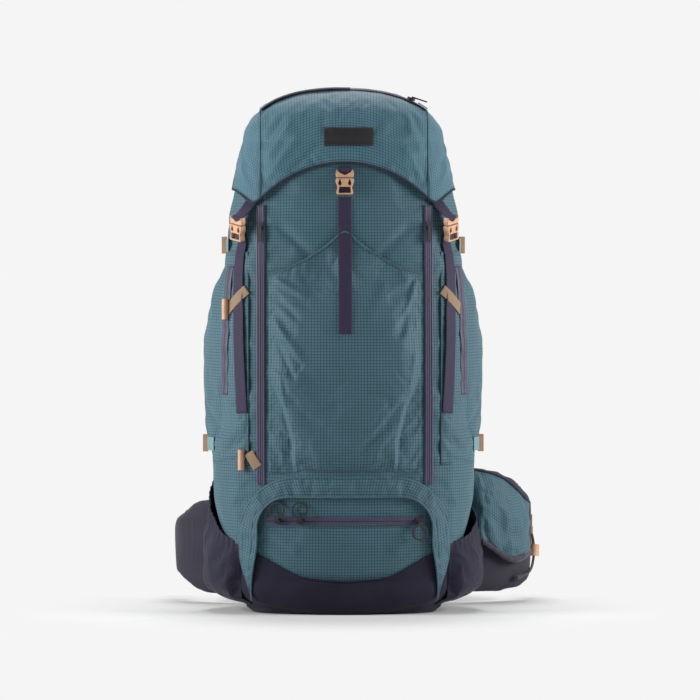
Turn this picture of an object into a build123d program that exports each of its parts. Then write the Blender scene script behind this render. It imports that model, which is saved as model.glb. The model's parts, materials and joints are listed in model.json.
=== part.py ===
"""Tall trekking backpack, standing on its boot: body, lid, zips, straps, harness and hip belt.

Frame: +Z up, -Y is the front of the pack, +Y the side that the wearer's back is on, +X to the
right when the front is looked at. The origin is on the floor, under the middle of the body.
Sizes are in millimetres.
"""

import os
from math import asin, cos, degrees, hypot, radians, sin, sqrt

from build123d import *

os.makedirs("parts", exist_ok=True)

# ---------------------------------------------------------------- driving sizes
GAP = 0.3  # between soft layers that lie on each other
FABRIC = 3.0  # body fabric with its lining
FAR = 400.0  # reach of a cutting block past the body

# body, in plan a flat back, straight sides and a bowed front
BODY_BOTTOM = 50.0
BODY_TOP = 676.0
BODY_LEVELS = 8
WIDEST_Z = 320.0
HALF_WIDTH = 179.0
TOP_NARROWING = 31.0
FOOT_NARROWING = 12.0
FRONT_DEPTH = 152.0
FRONT_BULGE_Z = 300.0
FRONT_RADIUS = 1500.0
FRONT_CROWN = 40.0
BACK_DEPTH = 110.0
FRONT_CORNER = 75.0
BACK_CORNER = 35.0
FRONT_SEAM_X = 117.0
BACK_SEAM_Y = 70.0

# boot: the rounded bottom, each level as (share of its height, how far it is drawn in)
BOOT_LEVELS = ((0.0, 24.0), (0.14, 11.0), (0.4, 3.5), (1.0, 0.0))
BOOT_FLOOR = 4.0

# lid
LID_CLEARANCE = 4.0
LID_WALL = 3.0
LID_LOW = 588.0
LID_LEVELS = 4
DOME_START = 700.0
LID_HEIGHT = 778.0
DOME_POWER = 2.2
DOME_STEPS = (0.0, 0.22, 0.45, 0.64, 0.79, 0.9, 0.96, 0.985)
LID_ARCH_HALF = 150.0
LID_ARCH_TOP = 669.0
LID_SIDE_EDGE_Z = 628.0
LID_EAR_Y = -88.0
LID_BACK_EDGE = 687.0
LID_FLOOR_Z = 704.0
LID_FLOOR_THICK = 2.0

# zips
TAPE_THICK = 1.4
TAPE_WIDTH = 12.0
FRONT_ZIP_X = 123.5
FRONT_ZIP_LOW = 194.0
FRONT_ZIP_HIGH = 606.0
SLIDER_WIDTH = 8.0
SLIDER_LENGTH = 12.0
SLIDER_HEIGHT = 4.0
SLIDER_CLEARANCE = 0.9
LID_ZIP_Y = -35.0
LID_ZIP_HALF = 124.0

# webbing and 20 mm side-release buckles
WEBBING = 20.0
WEBBING_THICK = 1.6
BUCKLE_WIDTH = 27.0
BUCKLE_THICK = 10.5
SOCKET_HEIGHT = 24.0
LADDER_HEIGHT = 15.0
TONGUE_THICK = 3.0
TONGUE_WIDTH = 17.5
TONGUE_DEPTH = 13.0
CAVITY_SIDE = 1.3
CAVITY_FACE = 1.9


# ---------------------------------------------------------------- the body's form
def half_width(z):
    """Half of the body's width at height z."""
    if z > WIDEST_Z:
        return HALF_WIDTH - TOP_NARROWING * ((z - WIDEST_Z) / (BODY_TOP - WIDEST_Z)) ** 2.8
    return HALF_WIDTH - FOOT_NARROWING * ((WIDEST_Z - z) / (WIDEST_Z - BODY_BOTTOM)) ** 2


def front_depth(z):
    """How far the middle of the front stands forward of the origin at height z."""
    return FRONT_DEPTH - FRONT_RADIUS + sqrt(FRONT_RADIUS**2 - (z - FRONT_BULGE_Z) ** 2)


def front_bow(z):
    """Radius of the front's bow in plan, and where its centre lies along Y."""
    radius = (half_width(z) ** 2 + FRONT_CROWN**2) / (2 * FRONT_CROWN)
    return radius, radius - front_depth(z)


def corner_centre(z):
    """Centre of the right front corner's round, in plan."""
    radius, middle = front_bow(z)
    x = half_width(z) - FRONT_CORNER
    return x, middle - sqrt((radius - FRONT_CORNER) ** 2 - x**2)


def front_y(x, z, grow=0.0):
    """Y of the front surface, or of a layer that stands grow outside it."""
    radius, middle = front_bow(z)
    corner_x, corner_y = corner_centre(z)
    if abs(x) <= corner_x * radius / (radius - FRONT_CORNER):
        return middle - sqrt((radius + grow) ** 2 - x**2)
    return corner_y - sqrt((FRONT_CORNER + grow) ** 2 - (abs(x) - corner_x) ** 2)


def corner_point(z, turn, grow=0.0):
    """Point of the right front corner whose outward normal is turn degrees from -Y towards +X."""
    x, y = corner_centre(z)
    reach = FRONT_CORNER + grow
    return x + reach * sin(radians(turn)), y - reach * cos(radians(turn))


def plan_outline(z, half, front, back, crown, front_corner, back_corner, grow=0.0):
    """Plan of the body or the lid at height z, grown outwards all round."""
    shoulder = crown - front
    with BuildSketch(Plane.XY.offset(z)) as plan:
        with BuildLine():
            Polyline((-half, shoulder), (-half, back), (half, back), (half, shoulder))
            ThreePointArc((half, shoulder), (0, -front), (-half, shoulder))
        make_face()
        fillet(plan.vertices().group_by(Axis.Y)[-1], back_corner)
        fillet(plan.vertices().group_by(Axis.Y)[0], front_corner)
        if grow:
            offset(amount=grow)
    return plan.sketch


def bag_outline(z, grow=0.0):
    return plan_outline(
        z, half_width(z), front_depth(z), BACK_DEPTH, FRONT_CROWN, FRONT_CORNER, BACK_CORNER, grow
    )


def bag_form(grow=0.0):
    """The body as a solid, grown outwards by grow."""
    with BuildPart() as form:
        for level in range(BODY_LEVELS):
            add(bag_outline(BODY_BOTTOM + (BODY_TOP - BODY_BOTTOM) * level / (BODY_LEVELS - 1), grow))
        loft()
    return form.part


def boot_form(grow=0.0, lift=0.0):
    """The boot as a solid, grown outwards, with its bottom lifted."""
    with BuildPart() as form:
        for share, drawn_in in BOOT_LEVELS:
            add(bag_outline(lift + (BODY_BOTTOM - lift) * share, grow - drawn_in))
        loft()
    return form.part


def lid_form(grow):
    """The lid as a solid, its skirt ruled and its dome rounded, grown outwards by grow."""
    base = plan_sizes(DOME_START, grow)[1:]
    rise = LID_HEIGHT - LID_CLEARANCE - LID_WALL + grow - DOME_START
    with BuildPart() as form:
        for level in range(LID_LEVELS + 1):
            add(plan_outline(*plan_sizes(LID_LOW + (DOME_START - LID_LOW) * level / LID_LEVELS, grow)))
        loft(ruled=True)
        for share in DOME_STEPS:
            scale_now = (1 - share**DOME_POWER) ** (1 / DOME_POWER)
            add(plan_outline(DOME_START + rise * share, *(size * scale_now for size in base)))
        loft()
    return form.part


def plan_sizes(z, grow):
    """Height, half width, front, back, crown and corners of the plan at height z, with its growth."""
    return (
        z,
        half_width(z) + grow,
        front_depth(z) + grow,
        BACK_DEPTH + grow,
        FRONT_CROWN,
        FRONT_CORNER + grow,
        BACK_CORNER + grow,
    )


def lid_height(x, y, grow):
    """Height of the lid's dome over a point in its flank or front, by halving."""
    _, half, front, _, crown, corner, _ = plan_sizes(DOME_START, grow)
    bow = (half**2 + crown**2) / (2 * crown)
    low, high = 0.001, 1.0
    for _ in range(50):
        scale_now = (low + high) / 2
        corner_x = (half - corner) * scale_now
        middle = (bow - front) * scale_now
        corner_y = middle - sqrt(((bow - corner) * scale_now) ** 2 - corner_x**2)
        outside = abs(x) > half * scale_now or y < middle - bow * scale_now
        if abs(x) > corner_x and y < corner_y:
            outside = hypot(abs(x) - corner_x, y - corner_y) > corner * scale_now
        elif not outside and y < 0 and abs(x) <= corner_x:
            outside = hypot(x, y - middle) > bow * scale_now
        low, high = (scale_now, high) if outside else (low, scale_now)
    rise = LID_HEIGHT - LID_CLEARANCE - LID_WALL + grow - DOME_START
    return DOME_START + rise * (1 - low**DOME_POWER) ** (1 / DOME_POWER)


def circle_through(p, q, r):
    """Centre and radius of the circle through three points of a plane."""
    a, b, c, d = q[0] - p[0], q[1] - p[1], r[0] - p[0], r[1] - p[1]
    e, f = (a * a + b * b) / 2, (c * c + d * d) / 2
    det = a * d - b * c
    u, v = (e * d - b * f) / det, (a * f - e * c) / det
    return (p[0] + u, p[1] + v), hypot(u, v)


def block(x0, x1, y0, y1, z0, z1, mode=Mode.ADD):
    """A box between two corners."""
    with Locations(((x0 + x1) / 2, (y0 + y1) / 2, (z0 + z1) / 2)):
        return Box(x1 - x0, y1 - y0, z1 - z0, mode=mode)


def keep(build, name):
    """Labels a finished piece and writes it."""
    build.part.label = name
    export_step(build.part, f"parts/{name}.step")


def both_sides(make):
    """(left piece, right piece) of a piece that is built on the right."""
    with BuildPart() as left:
        add(make.part.mirror(Plane.YZ))
    return left, make


# ---------------------------------------------------------------- body panels
skin_0 = bag_form(0.0)
skin_gap = bag_form(GAP)
skin_tape = bag_form(GAP + TAPE_THICK)

with BuildPart() as body_wall:
    add(skin_0)
    add(bag_form(-FABRIC), mode=Mode.SUBTRACT)

with BuildPart() as boot:
    add(boot_form())
    add(boot_form(-FABRIC, BOOT_FLOOR), mode=Mode.SUBTRACT)
keep(boot, "boot")

with BuildPart() as front_panel:
    add(body_wall.part)
    block(-FRONT_SEAM_X, FRONT_SEAM_X, -FAR, 0, 0, FAR * 2, mode=Mode.INTERSECT)
keep(front_panel, "front_panel")

with BuildPart() as side_panel:
    add(body_wall.part)
    block(FRONT_SEAM_X, FAR, -FAR, BACK_SEAM_Y, 0, FAR * 2, mode=Mode.INTERSECT)
side_panel_left, side_panel_right = both_sides(side_panel)
keep(side_panel_left, "side_panel_left")
keep(side_panel_right, "side_panel_right")

with BuildPart() as back_panel:
    add(body_wall.part)
    block(-FAR, FAR, BACK_SEAM_Y, FAR, 0, FAR * 2, mode=Mode.INTERSECT)
keep(back_panel, "back_panel")

# collar: gathered by its drawcord to a small mouth under the lid
COLLAR_TOP = 699.0
COLLAR_GATHER = 48.0


def collar_outline(z, drawn_in):
    """Plan of the collar at height z, drawn in from the body's top."""
    half, front, back = half_width(BODY_TOP), front_depth(BODY_TOP), BACK_DEPTH
    return plan_outline(
        z, half - drawn_in, front - drawn_in, back - drawn_in, FRONT_CROWN * (1 - drawn_in / half),
        FRONT_CORNER - drawn_in, max(BACK_CORNER - drawn_in, BACK_CORNER / 4),
    )


with BuildPart() as collar:
    add(collar_outline(BODY_TOP, 0))
    add(collar_outline(COLLAR_TOP, COLLAR_GATHER))
    loft(ruled=True)
    add(collar_outline(BODY_TOP, FABRIC))
    add(collar_outline(COLLAR_TOP, COLLAR_GATHER + FABRIC))
    loft(ruled=True, mode=Mode.SUBTRACT)
keep(collar, "collar")

# ---------------------------------------------------------------- frame inside the back
SHEET_THICK = 2.0
SHEET_HALF = 110.0
SHEET_LOW = 190.0
SHEET_HIGH = 640.0
STAY_X = 62.0
STAY_WIDTH = 12.0
STAY_THICK = 3.0
frame_face = BACK_DEPTH - FABRIC - GAP
with BuildPart() as frame_sheet:
    with BuildSketch(Plane.XZ.offset(-frame_face)):
        with Locations((0, (SHEET_LOW + SHEET_HIGH) / 2)):
            RectangleRounded(2 * SHEET_HALF, SHEET_HIGH - SHEET_LOW, 30)
    extrude(amount=SHEET_THICK)
keep(frame_sheet, "frame_sheet")

with BuildPart() as frame_stays:
    with BuildSketch(Plane.XZ.offset(-(frame_face - SHEET_THICK - GAP))):
        with Locations(*((x, (SHEET_LOW + SHEET_HIGH) / 2) for x in (-STAY_X, STAY_X))):
            SlotOverall(SHEET_HIGH - SHEET_LOW - 20, STAY_WIDTH, rotation=90)
    extrude(amount=STAY_THICK)
keep(frame_stays, "frame_stays")

# ---------------------------------------------------------------- pockets on the front and sides
POCKET_REACH = 18.0
POCKET_WALL = 2.5
POCKET_HALF = 112.0
POCKET_LOW = 212.0
POCKET_SIDE_TOP = 503.0
POCKET_PEAK = 561.0


def pocket_outline(half, low):
    """Front view of the stuff pocket: straight sides, a peak in the middle of its mouth."""
    with BuildSketch(Plane.XZ) as view:
        with BuildLine():
            Polyline((-half, POCKET_SIDE_TOP), (-half, low), (half, low), (half, POCKET_SIDE_TOP))
            Polyline((half, POCKET_SIDE_TOP), (0, POCKET_PEAK), (-half, POCKET_SIDE_TOP))
        make_face()
    return view.sketch


with BuildPart() as front_pocket:
    extrude(pocket_outline(POCKET_HALF, POCKET_LOW), amount=FAR, dir=(0, -1, 0))
    add(bag_form(POCKET_REACH), mode=Mode.INTERSECT)
    with BuildPart(mode=Mode.PRIVATE) as hollow:
        with BuildSketch(Plane.XZ):
            with Locations((0, (POCKET_LOW + POCKET_WALL + POCKET_PEAK + 20) / 2)):
                Rectangle(2 * (POCKET_HALF - POCKET_WALL), POCKET_PEAK + 20 - POCKET_LOW - POCKET_WALL)
        extrude(amount=FAR)
        add(bag_form(POCKET_REACH - POCKET_WALL), mode=Mode.INTERSECT)
    add(hollow.part, mode=Mode.SUBTRACT)
    add(skin_gap, mode=Mode.SUBTRACT)
keep(front_pocket, "front_pocket")

# storm flap that arches over the bottom compartment
FLAP_HALF = 155.0
FLAP_TOP = 206.0
FLAP_CORNER = 85.0
FLAP_INNER_HALF = 129.0
FLAP_INNER_TOP = 177.0
FLAP_INNER_CORNER = 45.0
FLAP_LOW = 58.0
FLAP_REACH = 12.0


def arch(half, top, corner):
    """Front view of an arch with round shoulders, down to the flap's foot."""
    with BuildSketch(Plane.XZ) as view:
        with Locations((0, (top + FLAP_LOW) / 2)):
            Rectangle(2 * half, top - FLAP_LOW)
        fillet(view.vertices().group_by(Axis.Y)[-1], corner)
    return view.sketch


with BuildPart() as bottom_flap:
    extrude(arch(FLAP_HALF, FLAP_TOP, FLAP_CORNER), amount=FAR, dir=(0, -1, 0))
    extrude(
        arch(FLAP_INNER_HALF, FLAP_INNER_TOP, FLAP_INNER_CORNER), amount=FAR, dir=(0, -1, 0),
        mode=Mode.SUBTRACT,
    )
    add(bag_form(FLAP_REACH), mode=Mode.INTERSECT)
    add(skin_gap, mode=Mode.SUBTRACT)
keep(bottom_flap, "bottom_flap")

# zipped side pockets: barrels that stand out of the flanks
SIDE_POCKET_X = 74.0
SIDE_POCKET_Y = 5.0
SIDE_POCKET_RADIUS = 130.5
SIDE_POCKET_MID = 375.0
SIDE_POCKET_LOW = 228.0
SIDE_POCKET_HIGH = 534.0
SIDE_POCKET_TOP_SAG = 34.0
SIDE_POCKET_LOW_SAG = 8.0
SIDE_ZIP_TURN = 32.0
SIDE_ZIP_LOW = 325.0
SIDE_ZIP_HIGH = 516.0
SIDE_ZIP_WIDTH = 9.0
side_axis = Axis((SIDE_POCKET_X, SIDE_POCKET_Y, 0), (0, 0, 1))
upper_rise = SIDE_POCKET_HIGH - SIDE_POCKET_MID
side_arc_radius = (upper_rise**2 + SIDE_POCKET_TOP_SAG**2) / (2 * SIDE_POCKET_TOP_SAG)
lower_drop = SIDE_POCKET_MID - SIDE_POCKET_LOW
side_low_radius = (lower_drop**2 + SIDE_POCKET_LOW_SAG**2) / (2 * SIDE_POCKET_LOW_SAG)


def barrel(grow, low=SIDE_POCKET_LOW, high=SIDE_POCKET_HIGH):
    """Side pocket's full round form, grown by grow, between two heights."""
    centre, reach = SIDE_POCKET_X, SIDE_POCKET_RADIUS + grow
    with BuildPart() as form:
        with BuildSketch(Plane((0, SIDE_POCKET_Y, 0), x_dir=(1, 0, 0), z_dir=(0, -1, 0))):
            with BuildLine():
                top = (centre + reach - SIDE_POCKET_TOP_SAG, SIDE_POCKET_HIGH)
                widest = (centre + reach, SIDE_POCKET_MID)
                foot = (centre + reach - SIDE_POCKET_LOW_SAG, SIDE_POCKET_LOW)
                RadiusArc(top, widest, side_arc_radius + grow)
                RadiusArc(widest, foot, side_low_radius + grow)
                Polyline(foot, (centre, SIDE_POCKET_LOW), (centre, SIDE_POCKET_HIGH), top)
            make_face()
        revolve(axis=side_axis)
        block(-FAR, FAR, -FAR, FAR, low, high, mode=Mode.INTERSECT)
    return form.part


with BuildPart() as side_pocket:
    add(barrel(0))
    block(140, FAR, -FAR, 92, 0, FAR * 2, mode=Mode.INTERSECT)
    add(skin_gap, mode=Mode.SUBTRACT)
side_pocket_left, side_pocket_right = both_sides(side_pocket)
keep(side_pocket_left, "side_pocket_left")
keep(side_pocket_right, "side_pocket_right")

with BuildPart() as side_zip:
    add(barrel(GAP + TAPE_THICK, SIDE_ZIP_LOW, SIDE_ZIP_HIGH))
    add(barrel(GAP, SIDE_ZIP_LOW, SIDE_ZIP_HIGH), mode=Mode.SUBTRACT)
    with Locations(Location((SIDE_POCKET_X, SIDE_POCKET_Y, 0), (0, 0, -SIDE_ZIP_TURN))):
        Box(
            FAR, SIDE_ZIP_WIDTH, FAR * 4, align=(Align.MIN, Align.CENTER, Align.CENTER),
            mode=Mode.INTERSECT,
        )
    add(skin_gap, mode=Mode.SUBTRACT)
with BuildPart() as side_zip_tapes:
    add(side_zip.part)
    add(side_zip.part.mirror(Plane.YZ))
keep(side_zip_tapes, "side_zip_tapes")

# open bottle pockets of stretch fabric, with a rim that falls towards the front
BOTTLE_X = 92.0
BOTTLE_Y = -5.0
BOTTLE_RADIUS = 113.0
BOTTLE_LOW = 51.0
BOTTLE_RIM_BACK = 221.0
BOTTLE_RIM_FRONT = 108.0
BOTTLE_FRONT_Y = -105.0
BOTTLE_BACK_Y = 75.0
with BuildPart() as bottle_pocket:
    with BuildSketch(Plane.XY.offset(BOTTLE_LOW)):
        with Locations((BOTTLE_X, BOTTLE_Y)):
            Circle(BOTTLE_RADIUS)
    extrude(amount=BOTTLE_RIM_BACK - BOTTLE_LOW)
    with BuildSketch(Plane.XY.offset(BOTTLE_LOW + FABRIC)):
        with Locations((BOTTLE_X, BOTTLE_Y)):
            Circle(BOTTLE_RADIUS - POCKET_WALL)
    extrude(amount=FAR, mode=Mode.SUBTRACT)
    add(skin_gap, mode=Mode.SUBTRACT)
    block(FLAP_HALF + 1, FAR, -FAR, 88, 0, FAR, mode=Mode.INTERSECT)
    with BuildSketch(Plane.YZ):
        with BuildLine():
            Polyline(
                (BOTTLE_FRONT_Y - 40, BOTTLE_RIM_FRONT), (BOTTLE_FRONT_Y, BOTTLE_RIM_FRONT),
                (BOTTLE_BACK_Y, BOTTLE_RIM_BACK), (BOTTLE_BACK_Y + 40, BOTTLE_RIM_BACK),
                (BOTTLE_BACK_Y + 40, FAR), (BOTTLE_FRONT_Y - 40, FAR),
                (BOTTLE_FRONT_Y - 40, BOTTLE_RIM_FRONT),
            )
        make_face()
    extrude(amount=FAR, mode=Mode.SUBTRACT)
bottle_pocket_left, bottle_pocket_right = both_sides(bottle_pocket)
keep(bottle_pocket_left, "bottle_pocket_left")
keep(bottle_pocket_right, "bottle_pocket_right")

# ---------------------------------------------------------------- front zips and their sliders
with BuildPart() as front_zip_tapes:
    add(skin_tape)
    add(skin_gap, mode=Mode.SUBTRACT)
    zip_mid = (FRONT_ZIP_LOW + FRONT_ZIP_HIGH) / 2
    with Locations((-FRONT_ZIP_X, -FAR / 2, zip_mid), (FRONT_ZIP_X, -FAR / 2, zip_mid)):
        Box(TAPE_WIDTH, FAR, FRONT_ZIP_HIGH - FRONT_ZIP_LOW, mode=Mode.INTERSECT)
keep(front_zip_tapes, "front_zip_tapes")


def plan_turn(x, z):
    """Turn from -Y, in degrees, of the plan arc's radius that passes over x at height z."""
    radius, _ = front_bow(z)
    return degrees(asin(x / radius))


def pull_ring(plane, flip):
    """Ring pull on a tab that turns on the slider's pin; flip is 1 to lie above it, -1 to hang."""
    with BuildPart() as pull:
        with BuildSketch(plane.offset(-RING_WIRE / 2)):
            with Locations((0, flip * (RING_TAB + RING_OUTER / 2))):
                Circle(RING_OUTER / 2)
                Circle(RING_OUTER / 2 - RING_WIRE, mode=Mode.SUBTRACT)
            with Locations((0, flip * RING_TAB / 2)):
                Rectangle(RING_TAB_WIDTH, RING_TAB + RING_WIRE)
        extrude(amount=RING_WIRE)
        with Locations(Location(Plane(plane.origin, x_dir=plane.z_dir, z_dir=plane.x_dir))):
            Cylinder(PIN_RADIUS + PIN_CLEARANCE, 4 * RING_TAB_WIDTH, mode=Mode.SUBTRACT)
    return pull.part


def slider_body(plane, ears=False):
    """Zip slider that stands on a plane at its foot, with ears and a pin when it holds a ring."""
    with BuildPart() as body:
        with BuildSketch(plane):
            SlotOverall(SLIDER_LENGTH, SLIDER_WIDTH, rotation=0 if ears else 90)
        extrude(amount=SLIDER_HEIGHT)
        if ears:
            for side in (-1, 1):
                with BuildSketch(plane.offset(SLIDER_HEIGHT)):
                    with Locations((side * EAR_X, 0)):
                        Rectangle(EAR_THICK, 2 * EAR_THICK)
                extrude(amount=PIN_HEIGHT + PIN_RADIUS + EAR_THICK / 2)
            pin = plane.offset(SLIDER_HEIGHT + PIN_HEIGHT)
            with Locations(Location(Plane(pin.origin, x_dir=plane.z_dir, z_dir=plane.x_dir))):
                Cylinder(PIN_RADIUS, 2 * EAR_X)
        else:
            with BuildSketch(plane.offset(SLIDER_HEIGHT)):
                with Locations((0, -SLIDER_LENGTH)):
                    Rectangle(PULL_WIDTH, PULL_LENGTH)
            extrude(amount=PULL_THICK)
    return body.part


# ---------------------------------------------------------------- bottom compartment and its zip
BOTTOM_ZIP_Z = 140.0
BOTTOM_ZIP_HALF = 117.0
PULL_WIDTH = 5.0
PULL_LENGTH = 24.0
PULL_THICK = 2.0
RING_OUTER = 24.0
RING_WIRE = 2.4
RING_TAB = 5.0
RING_TAB_WIDTH = 4.6
PIN_RADIUS = 0.8
PIN_CLEARANCE = 0.5
PIN_HEIGHT = 3.4
EAR_X = 3.6
EAR_THICK = 1.4
BOTTOM_SLIDERS = (("left", -98.0, 1), ("inner", -65.0, 1), ("right", 108.0, -1))
bottom_tape_top = GAP + TAPE_THICK

with BuildPart() as bottom_zip_tape:
    add(skin_tape)
    add(skin_gap, mode=Mode.SUBTRACT)
    block(
        -BOTTOM_ZIP_HALF, BOTTOM_ZIP_HALF, -FAR, 0, BOTTOM_ZIP_Z - TAPE_WIDTH / 2,
        BOTTOM_ZIP_Z + TAPE_WIDTH / 2, mode=Mode.INTERSECT,
    )
keep(bottom_zip_tape, "bottom_zip_tape")

for side, x, flip in BOTTOM_SLIDERS:
    turn = plan_turn(x, BOTTOM_ZIP_Z)
    radius, middle = front_bow(BOTTOM_ZIP_Z)
    foot = radius + bottom_tape_top + SLIDER_CLEARANCE
    normal = Vector(sin(radians(turn)), -cos(radians(turn)), 0)
    tangent = Vector(cos(radians(turn)), sin(radians(turn)), 0)
    stand = Plane(Vector(0, middle, BOTTOM_ZIP_Z) + normal * foot, x_dir=tangent, z_dir=normal)
    with BuildPart() as bottom_slider:
        add(slider_body(stand, ears=True))
    keep(bottom_slider, f"bottom_zip_slider_{side}")
    with BuildPart() as bottom_ring:
        add(pull_ring(stand.offset(SLIDER_HEIGHT + PIN_HEIGHT), flip))
    keep(bottom_ring, f"bottom_zip_ring_{side}")

# front zip sliders ride the tapes, on the circle that fits the tape best
FRONT_SLIDER_Z = 575.0
FRONT_TRAVEL_LOW = 275.0
FRONT_SLIDER_TURN = 19.5
SLIDER_FOOT = GAP + TAPE_THICK + SLIDER_CLEARANCE


def on_tape(z):
    return front_y(FRONT_ZIP_X, z, SLIDER_FOOT), z


travel_mid = (FRONT_SLIDER_Z + FRONT_TRAVEL_LOW) / 2
front_track = circle_through(on_tape(FRONT_SLIDER_Z), on_tape(travel_mid), on_tape(FRONT_TRAVEL_LOW))
reach_y, reach_z = on_tape(FRONT_SLIDER_Z)[0] - front_track[0][0], FRONT_SLIDER_Z - front_track[0][1]
uphill = Vector(0, reach_z, -reach_y).normalized()
outhill = Vector(0, reach_y, reach_z).normalized()
slider_turn = radians(FRONT_SLIDER_TURN)
slider_out = Vector(sin(slider_turn), outhill.Y * cos(slider_turn), outhill.Z * cos(slider_turn))
with BuildPart() as front_zip_slider:
    add(
        slider_body(
            Plane(
                (FRONT_ZIP_X, *on_tape(FRONT_SLIDER_Z)), x_dir=uphill.cross(slider_out), z_dir=slider_out
            )
        )
    )
front_slider_left, front_slider_right = both_sides(front_zip_slider)
keep(front_slider_left, "front_zip_slider_left")
keep(front_slider_right, "front_zip_slider_right")

# ---------------------------------------------------------------- lid
LID_EDGE_POINTS = (
    (-FAR, LID_LOW), (LID_EAR_Y, LID_LOW), (-50.0, 606.0), (-22.0, LID_SIDE_EDGE_Z),
    (36.0, LID_SIDE_EDGE_Z), (66.0, LID_BACK_EDGE), (FAR, LID_BACK_EDGE),
)
LID_EAR_Z = 594.0
lid_outer = lid_form(LID_CLEARANCE + LID_WALL)
with BuildPart() as lid_shell:
    add(lid_outer)
    add(lid_form(LID_CLEARANCE), mode=Mode.SUBTRACT)
    with BuildSketch(Plane.XZ):
        with BuildLine():
            ThreePointArc((-LID_ARCH_HALF, LID_EAR_Z), (0, LID_ARCH_TOP), (LID_ARCH_HALF, LID_EAR_Z))
            Polyline(
                (LID_ARCH_HALF, LID_EAR_Z), (LID_ARCH_HALF, 0), (-LID_ARCH_HALF, 0),
                (-LID_ARCH_HALF, LID_EAR_Z),
            )
        make_face()
    extrude(amount=FAR, mode=Mode.SUBTRACT)
    with BuildSketch(Plane.YZ):
        with BuildLine():
            Polyline(*LID_EDGE_POINTS, (FAR, 0), (-FAR, 0), LID_EDGE_POINTS[0])
        make_face()
    extrude(amount=FAR, both=True, mode=Mode.SUBTRACT)
keep(lid_shell, "lid_shell")

with BuildPart() as lid_floor:
    add(plan_outline(LID_FLOOR_Z, *plan_sizes(DOME_START, LID_CLEARANCE - 2 * GAP)[1:]))
    extrude(amount=LID_FLOOR_THICK)
    add(lid_form(LID_CLEARANCE - GAP), mode=Mode.INTERSECT)
keep(lid_floor, "lid_floor")

BADGE_WIDTH = 74.0
BADGE_HEIGHT = 30.0
BADGE_Z = 706.0
BADGE_THICK = 1.2
with BuildPart() as lid_badge:
    with BuildSketch(Plane.XZ):
        with Locations((4, BADGE_Z)):
            RectangleRounded(BADGE_WIDTH, BADGE_HEIGHT, 3)
    extrude(amount=FAR)
    add(lid_form(LID_CLEARANCE + LID_WALL + GAP + BADGE_THICK), mode=Mode.INTERSECT)
    add(lid_form(LID_CLEARANCE + LID_WALL + GAP), mode=Mode.SUBTRACT)
keep(lid_badge, "lid_badge")

with BuildPart() as lid_zip_tape:
    add(lid_form(LID_CLEARANCE + LID_WALL + GAP + TAPE_THICK))
    add(lid_form(LID_CLEARANCE + LID_WALL + GAP), mode=Mode.SUBTRACT)
    block(
        -LID_ZIP_HALF, LID_ZIP_HALF, LID_ZIP_Y - TAPE_WIDTH / 2, LID_ZIP_Y + TAPE_WIDTH / 2,
        DOME_START, FAR * 2, mode=Mode.INTERSECT,
    )
keep(lid_zip_tape, "lid_zip_tape")

LID_SLIDER_X = 100.0
LID_TRACK_LIFT = 1.2
lid_rise = LID_CLEARANCE + LID_WALL + SLIDER_FOOT


def on_lid(x):
    return x, lid_height(x, LID_ZIP_Y, lid_rise) + LID_TRACK_LIFT


lid_track = circle_through(on_lid(-LID_SLIDER_X), on_lid(0.001), on_lid(LID_SLIDER_X))
lid_out = Vector(LID_SLIDER_X - lid_track[0][0], 0, on_lid(LID_SLIDER_X)[1] - lid_track[0][1]).normalized()
with BuildPart() as lid_zip_slider:
    add(
        slider_body(
            Plane(
                (LID_SLIDER_X, LID_ZIP_Y, on_lid(LID_SLIDER_X)[1]), x_dir=Vector(0, 1, 0), z_dir=lid_out
            )
        )
    )
keep(lid_zip_slider, "lid_zip_slider")

# ---------------------------------------------------------------- lid buckles and their webbing
PRONG = 7.0
CAVITY_DEPTH = 9.5
SHOULDER_GAP = 1.2
SHOULDER = 12.0
BUCKLE_OFF = 2.4
FRONT_BUCKLE_Z = 646.0
SIDE_BUCKLE_Z = 578.0
SIDE_BUCKLE_TURN = 50.0
SIDE_BUCKLE_LEAN = 13.5
CENTER_STRAP_LOW = 417.0
SIDE_STRAP_LOW = 299.0
SIDE_STRAP_TURN = 38.0
slot_half = WEBBING / 2 + 0.6


def hang_plane(point, turn, lean):
    """Plane that faces turn degrees from -Y, with its up direction leaning forward by lean."""
    up = Vector(0, -sin(radians(lean)), cos(radians(lean)))
    out = Vector(sin(radians(turn)), -cos(radians(turn)), 0)
    out = (out - up * out.dot(up)).normalized()
    return Plane(point, x_dir=up.cross(out), z_dir=out)


def plate(plane, x0, x1, y0, y1, z0, z1):
    """A box in a plane's own directions."""
    with BuildPart() as box:
        with BuildSketch(plane.offset(z0)):
            with Locations(((x0 + x1) / 2, (y0 + y1) / 2)):
                Rectangle(x1 - x0, y1 - y0)
        extrude(amount=z1 - z0)
    return box.part


def ribbon(plane, points, width, thick):
    """Webbing whose side view, in the plane's (up, out), is a line through points."""
    side_view = Plane(plane.origin, x_dir=plane.y_dir, z_dir=plane.x_dir)
    with BuildPart() as strip:
        with BuildSketch(side_view):
            with BuildLine():
                Polyline(*points)
            trace(line_width=thick)
        extrude(amount=width / 2, both=True)
    return strip.part


def socket(plane):
    """Female half of a side-release buckle; the plane's origin is the middle of its mouth."""
    mid = BUCKLE_THICK / 2
    wide = TONGUE_WIDTH / 2 + CAVITY_SIDE
    deep = TONGUE_THICK / 2 + CAVITY_FACE
    with BuildPart() as half:
        add(plate(plane, -BUCKLE_WIDTH / 2, BUCKLE_WIDTH / 2, -SOCKET_HEIGHT, 0, 0, BUCKLE_THICK))
        add(plate(plane, -wide, wide, -CAVITY_DEPTH, 1, mid - deep, mid + deep), mode=Mode.SUBTRACT)
        add(
            plate(plane, -slot_half, slot_half, 4 - SOCKET_HEIGHT, 10 - SOCKET_HEIGHT, -1, FAR / 10),
            mode=Mode.SUBTRACT,
        )
    return half.part


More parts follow.
